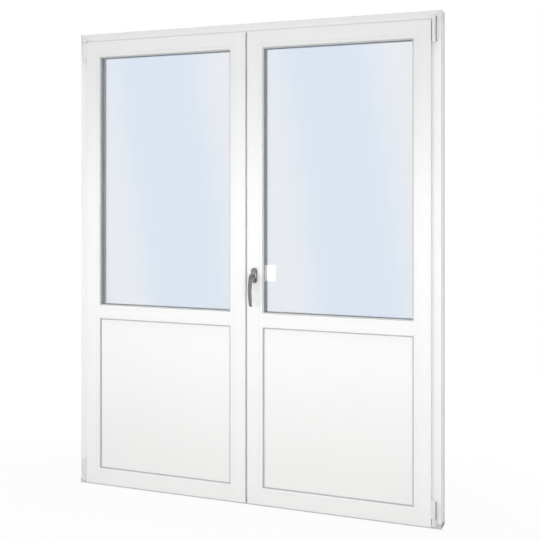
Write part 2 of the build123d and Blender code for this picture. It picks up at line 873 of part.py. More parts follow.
with BuildPart() as astragal_seal:
    add_block(astragal_seal_x - seal_width / 2, astragal_seal_x + seal_width / 2, leaf_back + seal_play,
              stop_front, astragal_bottom, flange_top)
    slim_half = (seal_foot_width - seal_play) / 2
    add_block(astragal_seal_x - slim_half, astragal_seal_x + slim_half, stop_front,
              stop_front + seal_foot_length, astragal_bottom, flange_top)
keep_piece(astragal_seal, "astragal_seal")


# Keeps on the astragal, one beside each cam of the lock
lowest_cam = handle_height - (rod_travel + (cam_count - 1) * cam_spacing) / 2
cam_heights = [lowest_cam + index * cam_spacing for index in range(cam_count)]
with BuildPart() as astragal_keeps:
    for cam_height in cam_heights:
        keep_bottom = cam_height + rod_travel / 2 - keep_length / 2
        wall_front = groove_depth_middle + cam_head_radius + keep_lead
        add_block(astragal_right, astragal_right + keep_thickness, groove_front - keep_wall,
                  wall_front + keep_wall, keep_bottom, keep_bottom + keep_length)
        add_block(astragal_right, astragal_right + keep_thickness + keep_wall_reach, wall_front,
                  wall_front + keep_wall, keep_bottom, keep_bottom + keep_length)
keep_piece(astragal_keeps, "astragal_keeps")


# Flush bolts in the astragal's groove, drawn back at rest
def flush_bolt(direction):
    # direction is 1 for the bolt that rises into the head and -1 for the one that drops.
    tip = astragal_top - bolt_rest_gap
    if direction < 0:
        tip = astragal_bottom + bolt_rest_gap
    tail = tip - direction * bolt_length
    head_end = tip - direction * bolt_head_length
    rod_front = groove_depth_middle - bolt_width / 2
    rod_back = groove_depth_middle + bolt_width / 2
    thumb_middle = tail + direction * thumb_distance
    with BuildPart() as bolt:
        add_block(bolt_x - bolt_thickness / 2, bolt_x + bolt_thickness / 2, rod_front, rod_back,
                  min(tip, tail), max(tip, tail))
        add_block(bolt_x - bolt_head_thickness / 2, bolt_x + bolt_head_thickness / 2, rod_front, rod_back,
                  min(tip, head_end), max(tip, head_end))
        add_block(bolt_x, bolt_x + groove_depth / 2 + thumb_reach, rod_front + bolt_play,
                  rod_back - bolt_play, thumb_middle - thumb_size / 2, thumb_middle + thumb_size / 2)
        tip_edges = bolt.edges().filter_by(Axis.X).group_by(Axis.Z)[-1 if direction > 0 else 0]
        chamfer(tip_edges, bolt_tip_edge)
    return bolt


keep_piece(flush_bolt(1), "top_bolt")
keep_piece(flush_bolt(-1), "bottom_bolt")


# Hinges, mirrored for the two leaves; sign is 1 on the right
def upper_bearing(sign):
    x = sign * hinge_x
    bottoms = (upper_hinge_bottom, upper_hinge_top - end_knuckle_height)
    with BuildPart() as bearing:
        for bottom in bottoms:
            add_post(x, hinge_depth, bottom, bottom + end_knuckle_height, end_knuckle_radius)
        ends = bearing.edges().filter_by(GeomType.CIRCLE).group_by(Axis.Z)
        chamfer(ends[0] + ends[-1], end_knuckle_edge)
        strap_edge = sign * end_knuckle_radius
        add_block(min(x, x + strap_edge), max(x, x + strap_edge), -strap_thickness, 0,
                  upper_hinge_bottom + end_knuckle_edge, upper_hinge_top - end_knuckle_edge)
        for bottom in bottoms:
            foot_low = bottom + end_knuckle_edge
            foot_high = bottom + end_knuckle_height - end_knuckle_edge
            add_block(min(x, x + strap_edge), max(x, x + strap_edge), hinge_depth, 0, foot_low, foot_high)
        pin_hole = hinge_pin_radius + pin_play
        add_post(x, hinge_depth, upper_hinge_bottom + end_knuckle_edge,
                 upper_hinge_top - end_knuckle_edge, pin_hole, Mode.SUBTRACT)
    return bearing


def lower_bearing(sign):
    x = sign * hinge_x
    with BuildPart() as bearing:
        add_post(x, hinge_depth, lower_hinge_bottom, bearing_top, bearing_radius)
        lower_edge = bearing.edges().filter_by(GeomType.CIRCLE).group_by(Axis.Z)[0]
        chamfer(lower_edge, end_knuckle_edge)
        add_block(x - bearing_foot / 2, x + bearing_foot / 2, hinge_depth, 0,
                  lower_hinge_bottom + end_knuckle_edge, bearing_top - end_knuckle_edge)
        socket = pivot_radius + pin_play
        add_post(x, hinge_depth, bearing_top - pivot_depth, bearing_top, socket, Mode.SUBTRACT)
    return bearing


def middle_knuckle(x):
    low = upper_hinge_bottom + end_knuckle_height + knuckle_play
    high = upper_hinge_top - end_knuckle_height - knuckle_play
    add_post(x, hinge_depth, low, high, knuckle_radius)


def bore_middle_knuckle(x):
    bore = hinge_pin_radius + pin_play
    add_post(x, hinge_depth, upper_hinge_bottom, upper_hinge_top, bore, Mode.SUBTRACT)


def lower_cover(sign, bore_radius):
    # A slim shell-like knuckle on the leaf's edge with a rounded side and a sloping top.
    x = sign * hinge_x
    edge = sign * leaf_side
    with BuildPart() as cover:
        with BuildSketch(Plane.XY.offset(cover_bottom)):
            with Locations((x, depth_y(hinge_depth))):
                Circle(cover_radius)
            draw_box(min(edge, x), max(edge, x), depth_y(hinge_depth - cover_radius),
                     depth_y(hinge_depth + cover_radius))
        extrude(amount=cover_height)
        far = x + sign * cover_radius
        with BuildSketch(Plane.XZ.offset(-reach)):
            Polygon(
                (edge, cover_top),
                (far, cover_top - cover_slope),
                (far, cover_top + cover_height),
                (edge, cover_top + cover_height),
                align=None,
            )
        extrude(amount=2 * reach, mode=Mode.SUBTRACT)
        add_post(x, hinge_depth, cover_bottom, pivot_top + pivot_top_gap, bore_radius, Mode.SUBTRACT)
    return cover


keep_piece(upper_bearing(-1), "upper_bearing_left")
keep_piece(upper_bearing(1), "upper_bearing_right")
keep_piece(lower_bearing(-1), "lower_bearing_left")
keep_piece(lower_bearing(1), "lower_bearing_right")
keep_piece(lower_cover(-1, pivot_radius + pin_play), "left_lower_hinge")
keep_piece(lower_cover(1, pivot_radius + pivot_tilt_play), "right_lower_hinge")

with BuildPart() as hinge_pins:
    for sign in (-1, 1):
        add_post(sign * hinge_x, hinge_depth, upper_hinge_bottom + end_knuckle_edge + pin_play,
                 upper_hinge_top - end_knuckle_edge - pin_play, hinge_pin_radius)
    add_post(-hinge_x, hinge_depth, pivot_bottom, pivot_top, pivot_radius)
keep_piece(hinge_pins, "hinge_pins")

with BuildPart() as pivot_pin:
    # Its foot is a ball, and the leaf tilts about the ball's centre.
    add_post(hinge_x, hinge_depth, tilt_axis_height, pivot_top, pivot_radius)
    with Locations((hinge_x, depth_y(hinge_depth), tilt_axis_height)):
        Sphere(pivot_radius)
keep_piece(pivot_pin, "right_pivot_pin")

with BuildPart() as left_upper_hinge:
    middle_knuckle(-hinge_x)
    wing_middle = (upper_hinge_bottom + upper_hinge_top) / 2
    wing_low = wing_middle - wing_height / 2
    wing_high = wing_middle + wing_height / 2
    add_block(-leaf_side - wing_thickness, -leaf_side, leaf_front + wing_thickness, lip_back - wing_thickness,
              wing_low, wing_high)
    add_block(-hinge_x, -leaf_side, hinge_depth - hinge_pin_radius, hinge_depth + hinge_pin_radius,
              wing_low, wing_high)
    bore_middle_knuckle(-hinge_x)
keep_piece(left_upper_hinge, "left_upper_hinge")


# Tilt stay: knuckle, plate behind the lip, neck past the stile and arm above the top rail
with BuildPart() as stay_arm:
    middle_knuckle(hinge_x)
    plate_back = -stay_plate_gap
    plate_front = plate_back - stay_plate_thickness
    add_block(stay_neck_inner, hinge_x - hinge_pin_radius / 2, plate_front, plate_back,
              stay_plate_bottom, stay_plate_top)
    arm_bottom = body_top + stay_clearance
    arm_front = groove_depth_middle - stay_width / 2
    arm_back = groove_depth_middle + stay_width / 2
    add_block(stay_neck_inner, stay_neck_outer, plate_front, arm_back, arm_bottom, stay_plate_top)
    pin_x = hinge_x - stay_length
    add_block(pin_x, stay_neck_outer, arm_front, arm_back, arm_bottom, stay_plate_top)
    add_post(pin_x, groove_depth_middle, arm_bottom, stay_plate_top, stay_width / 2)
    add_post(pin_x, groove_depth_middle, body_top - stay_pin_drop, arm_bottom, stay_pin_radius)
    bore_middle_knuckle(hinge_x)
keep_piece(stay_arm, "stay_arm")


# Lock of the active leaf
stile_top = leaf_top - faceplate_end_gap
stile_bottom = leaf_lift + faceplate_end_gap
faceplate_x = lock_edge_x + lip_width
rod_x = faceplate_x + faceplate_thickness + rod_play
with BuildPart() as faceplate:
    half_plate = groove_width / 2 - faceplate_play
    add_block(faceplate_x, faceplate_x + faceplate_thickness, groove_depth_middle - half_plate,
              groove_depth_middle + half_plate, stile_bottom, stile_top)
    for cam_height in cam_heights:
        slot_half = cam_radius + slot_play
        with BuildSketch(Plane.YZ.offset(faceplate_x - outer_wall)):
            with Locations((depth_y(groove_depth_middle), cam_height + rod_travel / 2)):
                SlotCenterToCenter(rod_travel, 2 * slot_half, rotation=90)
        extrude(amount=2 * outer_wall + faceplate_thickness, mode=Mode.SUBTRACT)
keep_piece(faceplate, "lock_faceplate")

with BuildPart() as drive_rod:
    rod_low = stile_bottom + rod_end_gap
    rod_high = stile_top - rod_end_gap - rod_travel
    add_block(rod_x, rod_x + rod_thickness, groove_depth_middle - rod_width / 2,
              groove_depth_middle + rod_width / 2, rod_low, rod_high)
    for cam_height in cam_heights:
        with BuildSketch(Plane.YZ.offset(rod_x)):
            with Locations((depth_y(groove_depth_middle), cam_height)):
                Circle(cam_radius)
        extrude(amount=-(rod_x - faceplate_x) - cam_reach)
        with BuildSketch(Plane.YZ.offset(faceplate_x - cam_reach + cam_head_height)):
            with Locations((depth_y(groove_depth_middle), cam_height)):
                Circle(cam_head_radius)
        extrude(amount=-cam_head_height)
keep_piece(drive_rod, "drive_rod")

case_x = lock_edge_x + lip_width + groove_depth + case_play
with BuildPart() as gearbox:
    add_block(case_x, case_x + case_depth, groove_depth_middle - case_thickness / 2,
              groove_depth_middle + case_thickness / 2, handle_height - case_height / 2,
              handle_height + case_height / 2)
    case_corners = gearbox.edges().filter_by(Axis.Y)
    fillet(case_corners, corner_radius)
    with BuildSketch(front_plane(groove_depth_middle + case_thickness)):
        with Locations((handle_x, handle_height)):
            Circle(follower_radius + follower_play)
            with Locations((0, screw_spacing / 2), (0, -screw_spacing / 2)):
                Circle(screw_radius + screw_play)
    extrude(amount=2 * case_thickness, mode=Mode.SUBTRACT)
keep_piece(gearbox, "gearbox")

with BuildPart() as follower:
    with BuildSketch(front_plane(groove_depth_middle + case_thickness / 2)):
        with Locations((handle_x, handle_height)):
            Circle(follower_radius)
            Rectangle(spindle_side + 2 * spindle_play, spindle_side + 2 * spindle_play, mode=Mode.SUBTRACT)
    extrude(amount=case_thickness)
keep_piece(follower, "lock_follower")


# Handle. Depths in front of the leaf face are negative; "out" is counted from that face.
def out_depth(out):
    return leaf_front - out


spindle_back = groove_depth_middle + case_thickness / 2
with BuildPart() as rosette_base:
    inner_play = rosette_wall + rosette_base_play
    with BuildSketch(front_plane(leaf_front)):
        with Locations((handle_x, handle_height)):
            SlotOverall(rosette_length - 2 * inner_play, rosette_width - 2 * inner_play, rotation=90)
            Circle(boss_radius + boss_play, mode=Mode.SUBTRACT)
            with Locations((0, screw_spacing / 2), (0, -screw_spacing / 2)):
                Circle(screw_radius + screw_play, mode=Mode.SUBTRACT)
    extrude(amount=rosette_base_height)
    with BuildSketch(front_plane(out_depth(rosette_base_height - screw_head_height))):
        with Locations((handle_x, handle_height)):
            with Locations((0, screw_spacing / 2), (0, -screw_spacing / 2)):
                Circle(screw_head_radius + screw_play)
    extrude(amount=screw_head_height, mode=Mode.SUBTRACT)
keep_piece(rosette_base, "rosette_base")

with BuildPart() as rosette_cover:
    with BuildSketch(front_plane(leaf_front)):
        with Locations((handle_x, handle_height)):
            SlotOverall(rosette_length, rosette_width, rotation=90)
    extrude(amount=rosette_height, taper=rosette_taper)
    front_face = rosette_cover.faces().sort_by(Axis.Y)[0]
    chamfer(front_face.edges(), rosette_edge)
    with BuildSketch(front_plane(leaf_front)):
        with Locations((handle_x, handle_height)):
            SlotOverall(rosette_length - 2 * rosette_wall, rosette_width - 2 * rosette_wall, rotation=90)
    extrude(amount=rosette_height - rosette_wall, taper=rosette_taper, mode=Mode.SUBTRACT)
    with BuildSketch(front_plane(leaf_front)):
        with Locations((handle_x, handle_height)):
            Circle(boss_radius + boss_play)
    extrude(amount=2 * rosette_height, mode=Mode.SUBTRACT)
keep_piece(rosette_cover, "rosette_cover")

with BuildPart() as handle_screws:
    head_front = out_depth(rosette_base_height)
    for hole_offset in (-screw_spacing / 2, screw_spacing / 2):
        with BuildSketch(front_plane(head_front + screw_head_height)):
            with Locations((handle_x, handle_height + hole_offset)):
                Circle(screw_head_radius)
        extrude(amount=screw_head_height)
        with BuildSketch(front_plane(head_front + screw_length)):
            with Locations((handle_x, handle_height + hole_offset)):
                Circle(screw_radius)
        extrude(amount=screw_length)
keep_piece(handle_screws, "handle_screws")

# The lever is one bent bar with its square spindle: a round boss, a neck out of the
# rosette and a bowed grip that hangs down when the door is shut.
lever_plane = Plane(
    origin=(handle_x, depth_y(leaf_front), handle_height),
    x_dir=(0, -1, 0),
    z_dir=(1, 0, 0),
)
with BuildPart() as handle_lever:
    # The bend stops short of a right angle, and the grip bows out by that lean.
    lean = math.radians(grip_lean)
    grip_out = neck_height + grip_bend * math.cos(lean)
    grip_top = grip_bend * (1 - math.sin(lean))
    with BuildLine(lever_plane):
        neck = Line((rosette_height, 0), (neck_height, 0))
        bend = TangentArc((neck_height, 0), (grip_out, grip_top), tangent=neck % 1)
        TangentArc((grip_out, grip_top), (grip_out, grip_length), tangent=bend % 1)
    with BuildSketch(front_plane(out_depth(rosette_height))):
        with Locations((handle_x, handle_height)):
            Ellipse(grip_width / 2, grip_thickness / 2)
    sweep()
    tip_edges = handle_lever.edges().group_by(Axis.Z)[0]
    chamfer(tip_edges, tip_edge)
    with BuildSketch(front_plane(leaf_front)):
        with Locations((handle_x, handle_height)):
            Circle(boss_radius)
    extrude(amount=rosette_height + boss_lift)
    with BuildSketch(front_plane(spindle_back)):
        with Locations((handle_x, handle_height)):
            Rectangle(spindle_side, spindle_side)
    extrude(amount=spindle_back - leaf_front)
keep_piece(handle_lever, "handle_lever")
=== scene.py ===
import json
import math

import bmesh
import bpy
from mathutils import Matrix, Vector


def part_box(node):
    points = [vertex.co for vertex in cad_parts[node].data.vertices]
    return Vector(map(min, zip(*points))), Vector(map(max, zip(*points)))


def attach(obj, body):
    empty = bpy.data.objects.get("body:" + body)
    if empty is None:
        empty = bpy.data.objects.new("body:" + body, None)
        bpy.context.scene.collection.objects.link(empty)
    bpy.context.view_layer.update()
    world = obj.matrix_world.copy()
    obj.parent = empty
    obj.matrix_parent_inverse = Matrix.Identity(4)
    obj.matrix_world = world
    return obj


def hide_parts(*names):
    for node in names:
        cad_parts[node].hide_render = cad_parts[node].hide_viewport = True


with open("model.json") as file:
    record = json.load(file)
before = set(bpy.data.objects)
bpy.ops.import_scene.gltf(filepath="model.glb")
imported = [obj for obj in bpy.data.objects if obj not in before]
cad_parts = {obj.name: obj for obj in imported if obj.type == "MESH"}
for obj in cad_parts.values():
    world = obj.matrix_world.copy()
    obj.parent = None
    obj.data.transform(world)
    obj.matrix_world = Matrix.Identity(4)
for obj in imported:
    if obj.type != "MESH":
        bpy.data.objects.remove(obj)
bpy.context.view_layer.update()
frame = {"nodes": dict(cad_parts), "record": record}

scene = bpy.context.scene
scene.view_settings.view_transform = "Standard"
nodes = frame["nodes"]
mm = 0.001
print("loaded", len(nodes), "solids")

# camera and lamps
cameraSettings = {
    "place": (1.5455, -3.7518, 1.3662),
    "turnLeft": 21.184,  # degrees away from straight at the doors
    "lens": 61.53,
    "sensor": 36,
    "shiftY": -0.1467,
    "clipEnd": 100,
}


def makeCamera(settings):
    data = bpy.data.cameras.new("camera")
    data.lens = settings["lens"]
    data.sensor_width = settings["sensor"]
    data.shift_y = settings["shiftY"]
    data.clip_end = settings["clipEnd"]
    camera = bpy.data.objects.new("camera", data)
    camera.location = settings["place"]
    camera.rotation_euler = (math.radians(90), 0, math.radians(settings["turnLeft"]))
    scene.collection.objects.link(camera)
    scene.camera = camera


lampSettings = {
    "mirrored": "gleamBox",  # the one lamp that the panes reflect
    "lamps": [
        # name, place, looks at, width, height, watts, colour
        ("frontBox", (0.1, -1.9, 1.05), (0.1, 0.0, 1.05), 3.4, 0.3, 19.5, (1.0, 1.0, 0.995)),
        ("topBox", (0.0, -0.7, 3.5), (0.0, 0.0, 2.0), 3.0, 0.5, 13, (1.0, 1.0, 1.0)),
        ("leftBox", (-3.0, -2.2, 1.4), (-0.4, 0.0, 1.1), 1.4, 1.4, 10, (0.98, 0.99, 1.0)),
        ("rightBox", (2.7, -1.9, 1.3), (0.7, 0.0, 1.1), 0.8, 1.4, 7.5, (1.0, 1.0, 1.0)),
        ("backBox", (1.2, 3.2, 2.0), (0.0, 0.0, 1.0), 2.6, 2.0, 48, (1.0, 1.0, 1.0)),
        ("gleamBox", (-0.85, -2.5, 0.776), (-0.4, 0.0, 0.9), 0.09, 0.115, 0.3, (1.0, 1.0, 1.0)),
    ],
}


def makeLamps(settings):
    for name, place, target, width, height, watts, colour in settings["lamps"]:
        data = bpy.data.lights.new(name, "AREA")
        data.shape = "RECTANGLE"
        data.size = width
        data.size_y = height
        data.energy = watts
        data.color = colour
        lamp = bpy.data.objects.new(name, data)
        lamp.location = place
        lamp.rotation_euler = (Vector(target) - lamp.location).to_track_quat("-Z", "Y").to_euler()
        lamp.visible_transmission = False
        lamp.visible_glossy = name == settings["mirrored"]
        scene.collection.objects.link(lamp)


# shader tools
class Wire:
    # one value in a node tree; sums on it add Math nodes
    def __init__(self, sheet, socket):
        self.sheet = sheet
        self.socket = socket

    def sum(self, operation, *terms):
        return self.sheet.node("ShaderNodeMath", {"operation": operation}, dict(enumerate(terms)))

    def __add__(self, other):
        return self.sum("ADD", self, other)

    def __sub__(self, other):
        return self.sum("SUBTRACT", self, other)

    def __rsub__(self, other):
        return self.sum("SUBTRACT", other, self)

    def __mul__(self, other):
        return self.sum("MULTIPLY", self, other)

    def __truediv__(self, other):
        return self.sum("DIVIDE", self, other)

    def __abs__(self):
        return self.sum("ABSOLUTE", self)

    def __gt__(self, other):
        return self.sum("GREATER_THAN", self, other)

    __radd__ = __add__
    __rmul__ = __mul__

    def low(self, other):
        return self.sum("MINIMUM", self, other)

    def high(self, other):
        return self.sum("MAXIMUM", self, other)

    def root(self):
        return self.sum("SQRT", self)

    def fraction(self):
        return self.sum("FRACT", self)

    def ramp(self, start, end):
        # 0 at start, 1 at end, eased between them
        return self.sheet.node(
            "ShaderNodeMapRange",
            {"interpolation_type": "SMOOTHSTEP"},
            {"Value": self, "From Min": start, "From Max": end},
        )


class Sheet:
    # the node tree of one material or of the world
    def __init__(self, tree):
        self.tree = tree

    def node(self, kind, settings=None, inputs=None, output=0):
        made = self.tree.nodes.new(kind)
        for key, value in (settings or {}).items():
            setattr(made, key, value)
        for key, value in (inputs or {}).items():
            self.plug(made.inputs[key], value)
        return Wire(self, made.outputs[output])

    def plug(self, socket, value):
        if isinstance(value, Wire):
            self.tree.links.new(value.socket, socket)
        else:
            socket.default_value = value

    def mix(self, share, first, second):
        return self.node("ShaderNodeMix", {"data_type": "RGBA"}, {0: share, 6: first, 7: second}, 2)

    def tint(self, colour, other):
        settings = {"data_type": "RGBA", "blend_type": "MULTIPLY"}
        return self.node("ShaderNodeMix", settings, {0: 1.0, 6: colour, 7: other}, 2)

    def outputs(self, wire):
        # every output of the node that the wire comes from
        return [Wire(self, socket) for socket in wire.socket.node.outputs]

    def place(self):
        return self.node("ShaderNodeTexCoord", output="Object")

    def axes(self):
        # the place in the object, whole and as x, y and z
        here = self.place()
        return here, *self.outputs(self.node("ShaderNodeSeparateXYZ", None, {0: here}))

    def stretched(self, here, scale):
        return self.node("ShaderNodeVectorMath", {"operation": "MULTIPLY"}, {0: here, 1: scale})

    def noise(self, here, scale, detail, roughness):
        inputs = {"Vector": here, "Scale": scale, "Detail": detail, "Roughness": roughness}
        return self.node("ShaderNodeTexNoise", None, inputs)

    def rounded(self, radius):
        # the normal with its edges softened
        return self.node("ShaderNodeBevel", {"samples": 4}, {"Radius": radius})

    def bump(self, height, distance, strength, normal=None):
        inputs = {"Height": height, "Distance": distance, "Strength": strength}
        if normal:
            inputs["Normal"] = normal
        return self.node("ShaderNodeBump", None, inputs)

    def seen(self):
        # 1 to the camera, in mirrors and through glass; and 1 in mirrors alone
        path = self.node("ShaderNodeLightPath").socket.node.outputs
        names = ("Is Camera Ray", "Is Glossy Ray", "Is Transmission Ray")
        camera, glossy, through = (Wire(self, path[name]) for name in names)
        return camera.high(glossy).high(through), glossy


def newFinish(name, **plain):
    # a material with its Principled shader; plain values go straight on the shader's sockets
    material = bpy.data.materials.new(name)
    material.use_nodes = True
    sheet = Sheet(material.node_tree)
    sheet.material = material
    sheet.shader = material.node_tree.nodes["Principled BSDF"]
    coat(sheet, **plain)
    return sheet


def coat(sheet, **values):
    for key, value in values.items():
        sheet.plug(sheet.shader.inputs[key.replace("_", " ")], value)
    return sheet.material


# finishes; a noise is its scale, detail and roughness, a bump its depth and strength,
# and a roughness its least value and what the noise adds
frontRing = (-0.846, 0.846, -0.067, 2.096)  # left, right, foot and head of the frame's mitred front
beadRing = (-9, 9, -9, 9)  # far out, so that no mitre line crosses the beads


def leafRing(side):
    stiles = [*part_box(f"{side}_hinge_stile"), *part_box(f"{side}_lock_stile")]
    across = [corner.x for corner in stiles]
    return min(across), max(across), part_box(f"{side}_bottom_rail")[0].z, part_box(f"{side}_top_rail")[1].z


profileSettings = {
    "colour": (0.905, 0.905, 0.903, 1),
    "roughness": (0.29, 0.1),
    "clouds": (2.6, 4, 0.6),
    "wear": (38, 3, 0.6),
    "skin": (420, 2, 0.5),
    "skinStretch": (1, 1, 0.25),
    "skinHeight": 0.1,
    "bump": (0.12 * mm, 0.6),
    "bevel": 0.9 * mm,
    "warmColour": (0.9, 0.895, 0.882, 1),  # towards the foot, where the floor's light reaches
    "warmRise": (0.9, 0.0),
    "warmShare": 0.6,
    "cloudShare": 0.12,
    "seamColour": (0.5, 0.515, 0.53, 1),
    "seamLine": (0.405 * mm, 0.9 * mm),  # half width, half width with its soft edge
    "jointInset": 57 * mm,  # where bead and sash meet
    "jointLine": (0.44 * mm, 1.1 * mm),
    "jointShare": 0.25,
    "leafSeams": 0.12,  # how much of the mitres shows
    "beadSeams": 0.01,
}
leafSettings = {
    # painted shade towards the top of the leaves and beads
    "topShadeColour": (0.815, 0.815, 0.815, 1),
    "topShadeRise": (1.3, 2.0),
}
frameSettings = {
    # painted shade across the head
    "headShadeColour": (0.76, 0.76, 0.76, 1),
    "headShadeRises": ((2.043, 2.056, 0.65), (2.05, 2.09, 0.25)),  # from, to, share
    "sideShadeColour": (0.26, 0.26, 0.265, 1),  # painted shade, in the clip grooves of the frame's outer sides and over their rear band
    "sideFace": 0.8457,
    "sideDepth": -28.5 * mm,
    "sideLine": (3.0 * mm, 4.5 * mm),
    "sideShadeShare": 0.6,
    "rearDepth": 11 * mm,
    "rearShadeShare": 0.5,
}


def seamMask(sheet, x, z, ring, line):
    # the welded mitres of a four-sided frame: lines at 45 degrees from its corners
    across = (x - ring[0]).low(ring[1] - x)
    along = (z - ring[2]).low(ring[3] - z)
    return 1 - abs(across - along).ramp(*line)


def jointMask(sheet, x, z, ring, inset, line):
    # a fine line at one distance inside a four-sided frame
    inside = (x - ring[0]).low(ring[1] - x).low((z - ring[2]).low(ring[3] - z))
    return 1 - abs(inside - inset).ramp(*line)


def shadedLeaf(sheet, base, z, settings):
    # painted shade: the leaves and their beads darken a little towards their top, where the light falls off
    return sheet.mix(z.ramp(*settings["topShadeRise"]), base, settings["topShadeColour"])


def shadedFrame(sheet, base, x, y, z, settings):
    # painted shade: the head is darker towards its outer edge, and so are the grooves and the rear band of the
    # outer sides
    first, second = (z.ramp(low, high) * share for low, high, share in settings["headShadeRises"])
    base = sheet.mix(first + second, base, settings["headShadeColour"])
    line = (1 - abs(y - settings["sideDepth"]).ramp(*settings["sideLine"])) * settings["sideShadeShare"]
    rear = (y > settings["rearDepth"]) * settings["rearShadeShare"]
    return sheet.mix((abs(x) > settings["sideFace"]) * line.high(rear), base, settings["sideShadeColour"])


def profileFinish(name, ring, settings, seams=None):
    # the leaves and beads name the share of their mitres that shows; the frame's show in full
    sheet = newFinish(name, IOR=1.5)
    here, x, y, z = sheet.axes()
    seam = seamMask(sheet, x, z, ring, settings["seamLine"])
    warm = z.ramp(*settings["warmRise"]) * settings["warmShare"]
    warm = warm + sheet.noise(here, *settings["clouds"]) * settings["cloudShare"]
    base = sheet.mix(warm, settings["colour"], settings["warmColour"])
    if seams is None:
        base = shadedFrame(sheet, base, x, y, z, frameSettings)
    else:
        joint = jointMask(sheet, x, z, ring, settings["jointInset"], settings["jointLine"])
        seam = (seam * settings[seams]).high(joint * settings["jointShare"])
        base = shadedLeaf(sheet, base, z, leafSettings)
    colour = sheet.mix(seam, base, settings["seamColour"])
    skin = sheet.noise(sheet.stretched(here, settings["skinStretch"]), *settings["skin"])
    least, spread = settings["roughness"]
    rough = least + sheet.noise(here, *settings["wear"]) * spread
    height = skin * settings["skinHeight"] - seam
    normal = sheet.bump(height, *settings["bump"], sheet.rounded(settings["bevel"]))
    return coat(sheet, Base_Color=colour, Roughness=rough, Normal=normal)


panelSettings = {
    "colour": (0.915, 0.915, 0.908, 1),
    "lowColour": (0.885, 0.882, 0.872, 1),  # painted shade, towards the foot
    "lowShadeRise": (0.75, 0.1),
    "lowShadeShare": 0.8,
    "clouds": (1.7, 3, 0.5),
    "cloudShare": 0.15,
    "roughness": (0.42, 0.08),
    "wear": (55, 3, 0.6),
    "peel": (260, 2, 0.5),
    "bump": (0.05 * mm, 0.4),
}


def panelFinish(settings):
    sheet = newFinish("plainPanel", IOR=1.5)
    here, *_, z = sheet.axes()
    # painted shade: darker towards the foot, with random clouds of tone mixed in
    low = z.ramp(*settings["lowShadeRise"]) * settings["lowShadeShare"]
    low = low + sheet.noise(here, *settings["clouds"]) * settings["cloudShare"]
    colour = sheet.mix(low, settings["colour"], settings["lowColour"])
    least, spread = settings["roughness"]
    rough = least + sheet.noise(here, *settings["wear"]) * spread
    normal = sheet.bump(sheet.noise(here, *settings["peel"]), *settings["bump"])
    return coat(sheet, Base_Color=colour, Roughness=rough, Normal=normal)


glassSettings = {
    "clear": (0.93, 0.941, 0.957, 1),
    # painted reflection, in the band that leans across the pane
    "reflectedBlue": (0.888, 0.922, 0.959, 1),
    "bandTop": 0.42,  # middle of the cool band, as a share of the pane's width
    "bandFoot": 0.68,
    "bandFade": (0.46, 0.14),  # from its edge to its full colour, in the same share
    "wander": (1.1, 2, 0.5),
    "wanderWidth": 0.16,
}


def glassFinish(name, pane, settings):
    # the glass's faint cool tint, with a painted reflection that makes it strongest in a wide band leaning
    # across the pane
    low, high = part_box(pane)
    sheet = newFinish(name, Roughness=0.0, IOR=1.48, Transmission_Weight=1.0)
    here, x, _, z = sheet.axes()
    across = (x - low.x) / (high.x - low.x)
    upward = (z - low.z) / (high.z - low.z)
    middle = upward * (settings["bandTop"] - settings["bandFoot"]) + settings["bandFoot"]
    width = settings["wanderWidth"]
    wander = sheet.noise(here, *settings["wander"]) * width - width / 2
    reflectedBand = abs(across - middle + wander).ramp(*settings["bandFade"])
    return coat(sheet, Base_Color=sheet.mix(reflectedBand, settings["clear"], settings["reflectedBlue"]))


spacerSettings = {
    # painted light: pale colours that stand in for light the glazing cavity does not get
    "colour": (0.7, 0.84, 0.99, 1),
    "farLitColour": (0.82, 0.93, 1.0, 1),
    "farDepth": -23 * mm,
    "footLitColour": (0.93, 0.975, 1.0, 1),  # painted light, on the bar along the foot, which catches the light
    "footTop": (0.846, 0.85),
    "holeColour": (0.58, 0.71, 0.86, 1),
    "holeHalf": (0.1, 0.16),  # as shares of the pitch
    "holeShare": 0.5,
    "pitch": 4.0 * mm,
    "roughness": (0.5, 0.1),
    "wear": (300, 2, 0.5),
    "bump": (0.2 * mm, 0.5),
}


def spacerFinish(settings):
    # metal bars with a row of fine vent holes, in painted light: far paler than the bars' own colour, for
    # light that does not reach into the glazing cavity
    sheet = newFinish("edgeSpacer", IOR=1.5)
    here, x, y, z = sheet.axes()
    beat = ((x + z) / settings["pitch"]).fraction()
    hole = 1 - abs(beat - 0.5).ramp(*settings["holeHalf"])
    bar = sheet.mix(y > settings["farDepth"], settings["colour"], settings["farLitColour"])
    bar = sheet.mix(z.ramp(*settings["footTop"]), settings["footLitColour"], bar)
    colour = sheet.mix(hole * settings["holeShare"], bar, settings["holeColour"])
    least, spread = settings["roughness"]
    rough = least + sheet.noise(here, *settings["wear"]) * spread
    return coat(sheet, Base_Color=colour, Roughness=rough, Normal=sheet.bump(hole * -1, *settings["bump"]))


gasketSettings = {
    "colour": (0.58, 0.58, 0.58, 1),
    "dustColour": (0.64, 0.64, 0.635, 1),
    "dust": (30, 4, 0.6),
    "dustRise": (0.4, 0.75),
    "lowColour": (0.48, 0.48, 0.48, 1),  # round the solid panels
    "lowTop": (0.79, 0.81),
    "roughness": (0.62, 0.14),
    "wear": (120, 2, 0.5),
    "lines": (500, 2, 0.4),
    "lineStretch": (1, 6, 1),
    "bump": (0.08 * mm, 0.4),
}
# painted shade: the dark colours of the shells beside the hinge knuckles, darker still low down
shadeLinerColours = {
    "colour": (0.13, 0.13, 0.132, 1),
    "dustColour": (0.17, 0.17, 0.172, 1),
    "lowColour": (0.11, 0.11, 0.112, 1),
    "lowTop": (0.2, 0.3),
}


